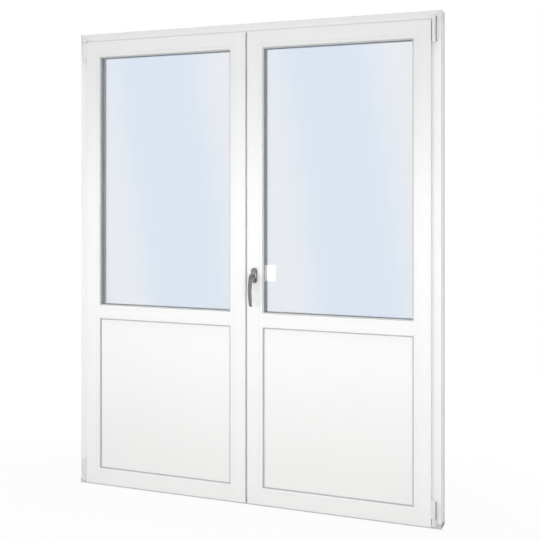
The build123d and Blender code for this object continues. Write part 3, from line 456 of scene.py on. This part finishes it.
def gasketFinish(name, settings):
    sheet = newFinish(name, IOR=1.52)
    here, *_, z = sheet.axes()
    dust = sheet.noise(here, *settings["dust"]).ramp(*settings["dustRise"])
    colour = sheet.mix(dust, settings["colour"], settings["dustColour"])
    colour = sheet.mix(z.ramp(*settings["lowTop"]), settings["lowColour"], colour)
    least, spread = settings["roughness"]
    rough = least + sheet.noise(here, *settings["wear"]) * spread
    lines = sheet.noise(sheet.stretched(here, settings["lineStretch"]), *settings["lines"])
    return coat(sheet, Base_Color=colour, Roughness=rough, Normal=sheet.bump(lines, *settings["bump"]))


handleSettings = {
    "colour": (0.2, 0.198, 0.207, 1),
    "lightColour": (0.255, 0.253, 0.262, 1),
    "brush": (1900, 3, 0.6),
    "brushStretch": (1, 1, 0.04),
    "brushRise": (0.3, 0.7),
    "roughness": (0.18, 0.14),
    "bump": (0.02 * mm, 0.35),
    "bevel": 0.5 * mm,
}
# painted highlight: a paler copy of the handle's finish, for the light crescent on the ring round the boss
collarHighlightColours = {
    "colour": (0.56, 0.56, 0.565, 1),
    "lightColour": (0.66, 0.66, 0.665, 1),
    "roughness": (0.2, 0.14),
}


def handleFinish(name, settings):
    sheet = newFinish(name, Metallic=0.85, IOR=1.5)
    here = sheet.place()
    brushed = sheet.noise(sheet.stretched(here, settings["brushStretch"]), *settings["brush"])
    colour = sheet.mix(brushed.ramp(*settings["brushRise"]), settings["colour"], settings["lightColour"])
    least, spread = settings["roughness"]
    normal = sheet.bump(brushed, *settings["bump"], sheet.rounded(settings["bevel"]))
    return coat(sheet, Base_Color=colour, Roughness=least + brushed * spread, Normal=normal)


hingeSettings = {
    "colour": (0.8, 0.802, 0.8, 1),
    "tints": ((0.97, 0.97, 0.97, 1), (1, 1, 1, 1)),
    "clouds": (20, 3, 0.5),
    "powder": (700, 2, 0.5),
    "roughness": (0.26, 0.12),
    "bump": (0.04 * mm, 0.5),
    "bevel": 0.8 * mm,
}


def hingeFinish(settings):
    sheet = newFinish("whiteHinge", IOR=1.5)
    here = sheet.place()
    powder = sheet.noise(here, *settings["powder"])
    clouds = sheet.noise(here, *settings["clouds"])
    colour = sheet.tint(settings["colour"], sheet.mix(clouds, *settings["tints"]))
    least, spread = settings["roughness"]
    normal = sheet.bump(powder, *settings["bump"], sheet.rounded(settings["bevel"]))
    return coat(sheet, Base_Color=colour, Roughness=least + powder * spread, Normal=normal)


metalSettings = {
    "roughSpread": 0.16,
    "grain": (3, 0.6),  # detail and roughness of its noise
    "grainRise": (0.25, 0.8),
    "bump": (0.03 * mm, 0.4),
    "bevel": 0.4 * mm,
    # colour, second colour, least roughness, grain's scale and stretch
    "zincPlate": ((0.5, 0.505, 0.5, 1), (0.62, 0.62, 0.6, 1), 0.22, 60, (1, 1, 0.2)),
    "galvanised": ((0.42, 0.43, 0.44, 1), (0.56, 0.57, 0.58, 1), 0.34, 130, (1, 1, 1)),
    "greyAnodised": ((0.56, 0.56, 0.558, 1), (0.63, 0.63, 0.628, 1), 0.34, 900, (0.03, 1, 1)),
}


def metalFinish(name, settings):
    colour, other, least, scale, stretch = settings[name]
    sheet = newFinish(name, Metallic=0.9)
    here = sheet.place()
    run = sheet.stretched(here, stretch)
    if name == "galvanised":
        # a spangle of flat grains
        grain = sheet.node("ShaderNodeTexVoronoi", {"feature": "F1"}, {"Vector": run, "Scale": scale}, 1)
        grain = sheet.node("ShaderNodeSeparateColor", None, {0: grain})
    else:
        grain = sheet.noise(run, scale, *settings["grain"])
    mixed = sheet.mix(grain.ramp(*settings["grainRise"]), colour, other)
    rough = least + grain * settings["roughSpread"]
    normal = sheet.bump(grain, *settings["bump"], sheet.rounded(settings["bevel"]))
    return coat(sheet, Base_Color=mixed, Roughness=rough, Normal=normal)


blockSettings = {
    "colours": ((0.05, 0.06, 0.07, 1), (0.085, 0.095, 0.105, 1)),
    "grain": (240, 3, 0.6),
    "roughness": (0.5, 0.15),
    "bump": (0.05 * mm, 0.5),
}


def blockFinish(settings):
    sheet = newFinish("mouldedBlock", IOR=1.5)
    here = sheet.place()
    grain = sheet.noise(here, *settings["grain"])
    least, spread = settings["roughness"]
    colour, normal = sheet.mix(grain, *settings["colours"]), sheet.bump(grain, *settings["bump"])
    return coat(sheet, Base_Color=colour, Roughness=least + grain * spread, Normal=normal)


# the white profiles, and each other material slot of the record
finishes = {
    "frame": profileFinish("frameProfile", frontRing, profileSettings),
    "left": profileFinish("leftProfile", leafRing("left"), profileSettings, "leafSeams"),
    "right": profileFinish("rightProfile", leafRing("right"), profileSettings, "leafSeams"),
    "bead": profileFinish("beadProfile", beadRing, profileSettings, "beadSeams"),
    "white_panel": panelFinish(panelSettings),
    "grey_gasket": gasketFinish("sealingStrip", gasketSettings),
    # painted shade, for the shells beside the hinge knuckles
    "shadeLiner": gasketFinish("shadeLinerStrip", {**gasketSettings, **shadeLinerColours}),
    "left_glass": glassFinish("leftGlass", "left_inner_pane", glassSettings),
    "right_glass": glassFinish("rightGlass", "right_inner_pane", glassSettings),
    "dark_spacer": spacerFinish(spacerSettings),
    "grey_handle": handleFinish("titaniumGrey", handleSettings),
    "collar": handleFinish("highlitTitanium", {**handleSettings, **collarHighlightColours}),
    "white_hinge": hingeFinish(hingeSettings),
    "galvanised_steel": metalFinish("galvanised", metalSettings),
    "threshold_grey": metalFinish("greyAnodised", metalSettings),
    "lock_steel": metalFinish("zincPlate", metalSettings),
    "block_plastic": blockFinish(blockSettings),
}
slotOf = {part["node"]: part["material_slot"] for part in frame["record"]["subparts"]}


def finishOf(node):
    slotName, side = slotOf[node], node.split("_")[0]
    if slotName == "clear_glass":
        return finishes[side + "_glass"]
    if slotName != "white_frame":
        return finishes[slotName]
    if node.endswith(("beads", "mid_rail")) or node.startswith("astragal"):
        return finishes["bead"]
    return finishes[side]


for node in nodes:
    for slot in nodes[node].material_slots:
        slot.material = finishOf(node)
print("dressed", len(nodes), "solids in", len(finishes), "finishes")


# mesh tools
sharpAngle = 38  # degrees, above which an edge stays crisp


def meshPiece(name, rings, finish, body, closed=False):
    # skins a row of equal point loops; closed joins the last loop to the first, otherwise both ends are capped
    shape = bmesh.new()
    loops = [[shape.verts.new(point) for point in ring] for ring in rings]
    pairs = list(zip(loops, loops[1:]))
    if closed:
        pairs.append((loops[-1], loops[0]))
    for lower, upper in pairs:
        for here, there, over, above in zip(lower, lower[1:] + lower[:1], upper[1:] + upper[:1], upper):
            shape.faces.new((here, there, over, above))
    if not closed:
        shape.faces.new(loops[0][::-1])
        shape.faces.new(loops[-1])
    bmesh.ops.recalc_face_normals(shape, faces=shape.faces)
    for face in shape.faces:
        face.smooth = True
    for edge in shape.edges:
        if len(edge.link_faces) == 2 and edge.calc_face_angle(0) > math.radians(sharpAngle):
            edge.smooth = False
    mesh = bpy.data.meshes.new(name)
    shape.to_mesh(mesh)
    shape.free()
    mesh.materials.append(finish)
    piece = bpy.data.objects.new(name, mesh)
    scene.collection.objects.link(piece)
    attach(piece, body)
    return piece


def turned(centre, profile, steps):
    # loops for a part turned on a lathe about an axis that points out of the leaf
    angles = [2 * math.pi * step / steps for step in range(steps)]
    x, y, z = centre
    return [
        [(x + radius * math.cos(angle), y - out, z + radius * math.sin(angle)) for angle in angles]
        for radius, out in profile
    ]


def eased(share):
    return share * share * (3 - 2 * share)


# handle
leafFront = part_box("right_lock_stile")[0].y
rosetteLow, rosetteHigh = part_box("rosette_cover")
handleCentre = ((rosetteLow.x + rosetteHigh.x) / 2, leafFront, (rosetteLow.z + rosetteHigh.z) / 2)

leverSettings = {
    "neckOut": 29 * mm,
    "bend": 16 * mm,
    "lean": 17.5,  # degrees short of a square bend
    "length": 131 * mm,
    "rise": 3 * mm,  # how far the neck climbs on its way out
    "sizes": [  # share of the way down the grip, half width, half thickness
        (0.0, 9.1 * mm, 7.6 * mm),
        (0.12, 8.8 * mm, 6.5 * mm),
        (0.4, 8.4 * mm, 5.7 * mm),
        (0.75, 7.7 * mm, 5.3 * mm),
        (1.0, 7.0 * mm, 5.0 * mm),
    ],
    "boss": [  # radius, distance out of the leaf's face
        (8.6 * mm, 0.0),
        (8.6 * mm, 11.9 * mm),
        (8.3 * mm, 12.4 * mm),
        (7.9 * mm, 12.6 * mm),
    ],
    "squareness": 2.3,  # 2 is an ellipse
    "neckFlare": 3,  # how soon the boss's round section gives way
    "tip": 4.5 * mm,
    "tipTurn": 82,  # degrees of the tip's round
    "steps": 40,
    "neckRuns": 8,
    "bendRuns": 10,
    "gripRuns": 32,
    "tipRuns": 6,
    "spindle": 3.5 * mm,
    "spindleEdge": 0.5 * mm,
}


def between(rows, share):
    # eases from row to row of (share, value, value)
    for (low, *first), (high, *second) in zip(rows, rows[1:]):
        if share <= high:
            ease = eased((share - low) / (high - low))
            return [one + (other - one) * ease for one, other in zip(first, second)]
    return rows[-1][1:]


def roundedLoop(centre, across, out, halfWidth, halfThick, squareness, steps):
    # a soft oval square to the bar, between an ellipse and a rectangle
    loop = []
    for step in range(steps):
        angle = 2 * math.pi * step / steps
        cosine, sine = math.cos(angle), math.sin(angle)
        wide = math.copysign(abs(cosine) ** (2 / squareness), cosine) * halfWidth
        thick = math.copysign(abs(sine) ** (2 / squareness), sine) * halfThick
        loop.append(tuple(Vector(centre) + Vector(across) * wide + Vector(out) * thick))
    return loop


def leverLoops(settings):
    # neck, bend and bowed grip, in the upright plane through the boss
    lean = math.radians(settings["lean"])
    turn = math.radians(90) - lean
    bend, neckOut, squareness, rise = (settings[key] for key in ("bend", "neckOut", "squareness", "rise"))
    x, face, z = handleCentre

    def loopAt(out, down, heading, wide, thick, square=squareness):
        # heading 0 points out of the leaf, a right angle points down
        side = (0, math.sin(heading), math.cos(heading))
        return roundedLoop((x, face - out, z - down), (1, 0, 0), side, wide, thick, square, settings["steps"])

    loops = []
    wide, thick = settings["sizes"][0][1:]
    collar, collarOut = settings["boss"][-1]
    for step in range(settings["neckRuns"]):
        share = step / settings["neckRuns"]
        pull = (1 - share) ** settings["neckFlare"]
        out = collarOut + (neckOut - collarOut) * share
        square = 2 + (squareness - 2) * share
        section = wide + (collar - wide) * pull, thick + (collar - thick) * pull
        loops.append(loopAt(out, -rise * eased(share), 0, *section, square))
    for step in range(settings["bendRuns"]):
        heading = turn * step / settings["bendRuns"]
        down = bend * (1 - math.cos(heading)) - rise
        loops.append(loopAt(neckOut + bend * math.sin(heading), down, heading, wide, thick))

    # the grip is an arc that bows towards the leaf again, and closes over a round tip
    startOut, startDown = neckOut + bend * math.sin(turn), bend * (1 - math.cos(turn)) - rise
    radius = (settings["length"] - startDown) / 2 / math.sin(lean)
    tipShare = settings["tip"] / (2 * lean * radius)
    stops = [(step / settings["gripRuns"] * (1 - tipShare), 1) for step in range(settings["gripRuns"])]
    for step in range(settings["tipRuns"] + 1):
        angle = math.radians(settings["tipTurn"]) * step / settings["tipRuns"]
        stops.append((1 - tipShare * (1 - math.sin(angle)), math.cos(angle)))
    for share, size in stops:
        heading = turn + 2 * lean * share
        out = startOut + radius * (math.sin(heading) - math.sin(turn))
        down = startDown + radius * (math.cos(turn) - math.cos(heading))
        wide, thick = between(settings["sizes"], share)
        loops.append(loopAt(out, down, heading, wide * size, thick * size))
    return loops


def makeLever(settings):
    loops = turned(handleCentre, settings["boss"], settings["steps"]) + leverLoops(settings)
    lever = meshPiece("leverBar", loops, finishes["grey_handle"], "handle")
    # the square spindle reaches back to the lock
    x, face, z = handleCentre
    half, edge = settings["spindle"], settings["spindleEdge"]
    square = [(half, half - edge), (half - edge, half), (edge - half, half), (-half, half - edge)]
    square += [(-a, -b) for a, b in square]
    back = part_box("handle_lever")[1].y
    loops = [[(x + a, y, z + b) for a, b in square] for y in (face, back)]
    meshPiece("leverSpindle", loops, finishes["lock_steel"], "handle")
    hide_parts("handle_lever")


makeLever(leverSettings)

rosetteSettings = {
    "half": (13.5 * mm, 33 * mm),
    "out": 10 * mm,
    "round": 2.2 * mm,
    "taper": 0.5 * mm,
    "sideTaper": 0.4 * mm,  # the part of it that the sides have below the round
    "wall": 1.2 * mm,
    "crown": 0.35 * mm,  # how far the front swells at its middle
    "crownRings": (0.25, 0.5, 0.75),  # from the rim to the hole
    "hole": 8.75 * mm,
    "steps": 72,
    "roundRuns": 5,
    "collar": [  # radius and distance out of the ring round the boss, lighter by a painted highlight
        (8.85 * mm, 9.8 * mm),
        (12.0 * mm, 9.8 * mm),
        (12.2 * mm, 10.3 * mm),
        (11.9 * mm, 10.8 * mm),
        (9.9 * mm, 12.7 * mm),
        (9.4 * mm, 12.9 * mm),
        (8.85 * mm, 12.6 * mm),
    ],
}


def slotLoop(inset, out, settings):
    # a slot with round ends, met at equal turns from its middle
    halfWide, halfTall = settings["half"][0] - inset, settings["half"][1] - inset
    straight = halfTall - halfWide
    x, face, z = handleCentre
    loop = []
    for step in range(settings["steps"]):
        angle = 2 * math.pi * step / settings["steps"]
        cosine, sine = math.cos(angle), math.sin(angle)
        reach = halfWide / max(abs(cosine), 1e-6)
        if reach * abs(sine) > straight:
            lift = straight * abs(sine)
            reach = lift + math.sqrt(lift * lift - straight * straight + halfWide * halfWide)
        loop.append((x + reach * cosine, face - out, z + reach * sine))
    return loop


def blended(first, second, share, out):
    # a loop part of the way from one to another, at its own distance out
    return [
        (one[0] + (two[0] - one[0]) * share, handleCentre[1] - out, one[2] + (two[2] - one[2]) * share)
        for one, two in zip(first, second)
    ]


def makeRosette(settings):
    steps, out, soft, wall, crown = (settings[key] for key in ("steps", "out", "round", "wall", "crown"))
    side = settings["sideTaper"]
    loops = [slotLoop(0, 0, settings), slotLoop(side, out - soft, settings)]
    for step in range(1, settings["roundRuns"] + 1):
        angle = math.radians(90) * step / settings["roundRuns"]
        rise = out - soft + (soft - crown) * math.sin(angle)
        loops.append(slotLoop(side + soft * (1 - math.cos(angle)), rise, settings))
    rim, (hole,) = loops[-1], turned(handleCentre, [(settings["hole"], out)], steps)
    loops += [blended(rim, hole, share, out - crown * (1 - share) ** 2) for share in settings["crownRings"]]
    loops.append(hole)
    # back down the hole and along the inside of the shell
    under, wallInset = out - wall - crown, wall + settings["taper"]
    loops += turned(handleCentre, [(settings["hole"], under)], steps)
    for inset, rise in ((wallInset + soft, under), (wallInset, under - soft), (wall, 0)):
        loops.append(slotLoop(inset, rise, settings))
    grey = finishes["grey_handle"]
    shell = meshPiece("rosetteShell", loops, grey, "right_leaf", closed=True)
    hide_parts("rosette_cover")
    ring = turned(handleCentre, settings["collar"], steps)
    meshPiece("bossCollar", ring, finishes["collar"], "right_leaf", closed=True)


makeRosette(rosetteSettings)
print("handle made")


# painted shade: thin grey shells on the wall side of the hinge knuckles, dark where shade falls beside them
shadeLinerSettings = {
    "thick": 0.5 * mm,
    "knuckle": 14 * mm,  # height of the end knuckles
    "step": 1.1 * mm,  # the middle knuckle's liner sits this much further in
    "from": 56,  # degrees round the knuckle from its front, towards the wall
    "to": 104,
    "steps": 14,
    "edge": 0.15 * mm,
    "endGap": 2.2 * mm,  # from the liner to the hinge's end
    "knuckleGap": 0.55 * mm,  # from an end knuckle's liner to the joint
    "middleGap": 1.1 * mm,  # from the middle knuckle's liner to either joint
    "lowerGap": 1.1 * mm,
    "lowerTop": 8.2 * mm,  # the lower cover slopes down to its outer side
}


def makeShadeLiner(name, centre, radius, span, sign, body, finish, settings):
    outer, edge = radius + settings["thick"], settings["edge"]
    (x, y), (low, high) = centre, span
    section = [
        (radius - edge, low),
        (outer - edge, low),
        (outer, low + edge),
        (outer, high - edge),
        (outer - edge, high),
        (radius - edge, high),
    ]
    loops = []
    for step in range(settings["steps"] + 1):
        angle = math.radians(settings["from"] + (settings["to"] - settings["from"]) * step / settings["steps"])
        across, out = math.sin(angle) * sign, math.cos(angle)
        loops.append([(x + across * reach, y - out * reach, height) for reach, height in section])
    slotName = "grey_gasket" if finish == "shadeLiner" else finish
    meshPiece(name, loops, finishes[finish], body)


def makeShadeLiners(settings):
    knuckle, endGap = settings["knuckle"], settings["endGap"]
    knuckleGap, middleGap = settings["knuckleGap"], settings["middleGap"]
    for side, sign in (("left", -1), ("right", 1)):
        low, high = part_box(f"upper_bearing_{side}")
        radius = (high.x - low.x) / 2
        centre = ((low.x + high.x) / 2, low.y + radius)
        footSpan = low.z + endGap, low.z + knuckle - knuckleGap
        headSpan = high.z - knuckle + knuckleGap, high.z - endGap
        middleSpan = low.z + knuckle + middleGap, high.z - knuckle - middleGap
        middleBody = "tilt_stay" if side == "right" else "left_leaf"
        # all of these shells are painted shade on the knuckles' wall side
        for name, span, reach, body, finish in (
            ("footShadeLiner", footSpan, radius, "door_frame", "block_plastic"),
            ("headShadeLiner", headSpan, radius, "door_frame", "block_plastic"),
            ("middleShadeLiner", middleSpan, radius - settings["step"], middleBody, "shadeLiner"),
        ):
            makeShadeLiner(f"{name}.{side}", centre, reach, span, sign, body, finish, settings)
        low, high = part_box(f"{side}_lower_hinge")
        radius = (high.y - low.y) / 2
        centre = ((high.x if sign > 0 else low.x) - sign * radius, (low.y + high.y) / 2)
        span = low.z + settings["lowerGap"], high.z - settings["lowerTop"]
        makeShadeLiner(f"lowerShadeLiner.{side}", centre, radius, span, sign, f"{side}_leaf", "shadeLiner", settings)


makeShadeLiners(shadeLinerSettings)
print("hinge liners made")

# drain hoods, on the outside of the bottom rails
hoodSettings = {
    "places": (-0.62, -0.2, 0.2, 0.62),
    "height": 45 * mm,
    "half": (17 * mm, 5.5 * mm),
    "profile": [  # inset, distance out of the rail
        (0.0, -0.2 * mm),
        (0.0, 2.6 * mm),
        (0.35 * mm, 3.4 * mm),
        (1.1 * mm, 4.0 * mm),
        (2.4 * mm, 4.3 * mm),
    ],
    "steps": 32,
    "outletShade": (9 * mm, 0.9 * mm),  # half length and half depth of the dark sheet below, painted shade for the hood's slot
    "outletMiddle": 1.3 * mm,  # distance out of the rail
    "outletRise": (-0.05 * mm, 0.6 * mm),  # from the hood's underside
}


def capsule(x, y, z, halfWide, halfTall, steps):
    # a hair off the quarter turns, where the sign of the cosine isn't sure
    loop = []
    for step in range(steps):
        angle = 2 * math.pi * step / steps
        shift = math.copysign(halfWide - halfTall, math.cos(angle + 1e-6))
        loop.append((x + shift + halfTall * math.cos(angle), y, z + halfTall * math.sin(angle)))
    return loop


def makeHoods(settings):
    wide, tall = settings["half"]
    long, deep = settings["outletShade"]
    z, steps = settings["height"], settings["steps"]
    for number, x in enumerate(settings["places"]):
        side = "left" if x < 0 else "right"
        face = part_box(f"{side}_bottom_rail")[1].y
        hood = [
            capsule(x, face + out, z, wide - inset, tall - inset, steps) for inset, out in settings["profile"]
        ]
        meshPiece(f"drainHood.{number}", hood, finishes["bead"], f"{side}_leaf")
        # painted shade: a thin dark sheet under each hood, for the shade inside its slot
        middle = face + settings["outletMiddle"]
        flat = [(px, middle + pz) for px, _, pz in capsule(x, 0, 0, long, deep, steps)]
        outletShade = [[(px, py, z - tall + rise) for px, py in flat] for rise in settings["outletRise"]]
        meshPiece(f"drainOutletShade.{number}", outletShade, finishes["block_plastic"], f"{side}_leaf")


makeHoods(hoodSettings)

# screws of the lock's faceplate
screwSettings = {
    "heights": (0.15, 0.47, 0.86, 1.14, 1.5, 1.9),
    "profile": [  # radius, distance out of the plate
        (3.6 * mm, -0.1 * mm),
        (3.6 * mm, 0.1 * mm),
        (3.1 * mm, 0.4 * mm),
        (2.2 * mm, 0.55 * mm),
    ],
    "recess": (1.9 * mm, 0.42 * mm, 0.8 * mm),  # arm's reach, half width, depth
    "recessFoot": 0.8,  # its size at the bottom
}


def makeScrews(settings):
    low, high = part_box("lock_faceplate")
    y, face = (low.y + high.y) / 2, low.x
    reach, half, depth = settings["recess"]
    cross = []
    for turn in range(4):
        cosine, sine = math.cos(math.radians(90 * turn)), math.sin(math.radians(90 * turn))
        for along, aside in ((half, -half), (reach, -half), (reach, half)):
            cross.append((along * cosine - aside * sine, along * sine + aside * cosine))
    turns = [math.atan2(b, a) for a, b in cross]
    top, foot = settings["profile"][-1][1], settings["recessFoot"]
    for number, z in enumerate(settings["heights"]):
        loops = [
            [(face - out, y + radius * math.cos(turn), z + radius * math.sin(turn)) for turn in turns]
            for radius, out in settings["profile"]
        ]
        loops.append([(face - top, y + a, z + b) for a, b in cross])
        loops.append([(face - top + depth, y + a * foot, z + b * foot) for a, b in cross])
        meshPiece(f"faceplateScrew.{number}", loops, finishes["lock_steel"], "right_leaf")


makeScrews(screwSettings)
print("hoods and screws made")

# world and floor, which the camera sees as white
roomSettings = {  # what polished metal sees: dimmer to the left, brighter to the right
    "dimColour": (0.72, 0.73, 0.75, 1),
    "dimRise": (-0.54, -0.78),  # share of the way round to the side
    "glowColour": (1.3, 1.3, 1.3, 1),
    "glowRise": (0.3, 0.85),
}
worldSettings = {
    "ambient": 0.37,
    "skyAmbient": 0.45,  # added overhead
    "skyRise": (0.05, 0.95),
    "colour": (0.985, 0.992, 1.0, 1),
}
floorSettings = {
    "colours": ((0.64, 0.64, 0.635, 1), (0.62, 0.62, 0.615, 1)),
    "clouds": (3, 3, 0.5),
    "roughness": 0.8,
    "reach": 60,
    "drop": 0.6 * mm,
    "white": 0.94,  # how much of it is plain white to the camera beside the doors
    "whiteRise": (0.2, 1.3),  # metres from the threshold, over which it turns to all white
    "halfThreshold": 0.9,
    "roomRise": (1.5, 5.0),  # metres out, over which it takes the room's colour
}


def roomColour(sheet, side, share, settings):
    dim = side.ramp(*settings["dimRise"]) * share
    glow = side.ramp(*settings["glowRise"]) * share
    return sheet.mix(glow, sheet.mix(dim, (1, 1, 1, 1), settings["dimColour"]), settings["glowColour"])


def makeWorld(settings):
    world = bpy.data.worlds.new("studio")
    world.use_nodes = True
    world.node_tree.nodes.clear()
    sheet = Sheet(world.node_tree)
    seen, glossy = sheet.seen()
    toward = sheet.node("ShaderNodeTexCoord", output="Generated")
    side, _, up = sheet.outputs(sheet.node("ShaderNodeSeparateXYZ", None, {0: toward}))
    strength = up.ramp(*settings["skyRise"]) * settings["skyAmbient"] + settings["ambient"]
    soft = sheet.node("ShaderNodeBackground", None, {"Color": settings["colour"], "Strength": strength})
    room = roomColour(sheet, side, glossy, roomSettings)
    white = sheet.node("ShaderNodeBackground", None, {"Color": room, "Strength": 1.0})
    both = sheet.node("ShaderNodeMixShader", None, {0: seen, 1: soft, 2: white})
    output = world.node_tree.nodes.new("ShaderNodeOutputWorld")
    sheet.plug(output.inputs["Surface"], both)
    scene.world = world


def makeFloor(settings):
    reach = settings["reach"]
    corners = [(-reach, -reach), (reach, -reach), (reach, reach), (-reach, reach)]
    mesh = bpy.data.meshes.new("floor")
    mesh.from_pydata([(x, y, -settings["drop"]) for x, y in corners], [], [(0, 1, 2, 3)])
    floor = bpy.data.objects.new("floor", mesh)
    scene.collection.objects.link(floor)
    sheet = newFinish("paleFloor", Roughness=settings["roughness"])
    here, x, y, _ = sheet.axes()
    coat(sheet, Base_Color=sheet.mix(sheet.noise(here, *settings["clouds"]), *settings["colours"]))

    seen, glossy = sheet.seen()
    away = (x * x + y * y).root()
    room = roomColour(sheet, x / away, away.ramp(*settings["roomRise"]) * glossy, roomSettings)
    white = sheet.node("ShaderNodeEmission", None, {"Color": room, "Strength": 1.0})
    gap = (abs(x) - settings["halfThreshold"]).high(0.0) + abs(y)
    least = settings["white"]
    share = seen * (gap.ramp(*settings["whiteRise"]) * (1 - least) + least)
    shader = Wire(sheet, sheet.shader.outputs[0])
    both = sheet.node("ShaderNodeMixShader", None, {0: share, 1: shader, 2: white})
    sheet.plug(sheet.tree.nodes["Material Output"].inputs["Surface"], both)
    mesh.materials.append(sheet.material)


makeWorld(worldSettings)
makeFloor(floorSettings)
makeLamps(lampSettings)
makeCamera(cameraSettings)
print("studio ready")
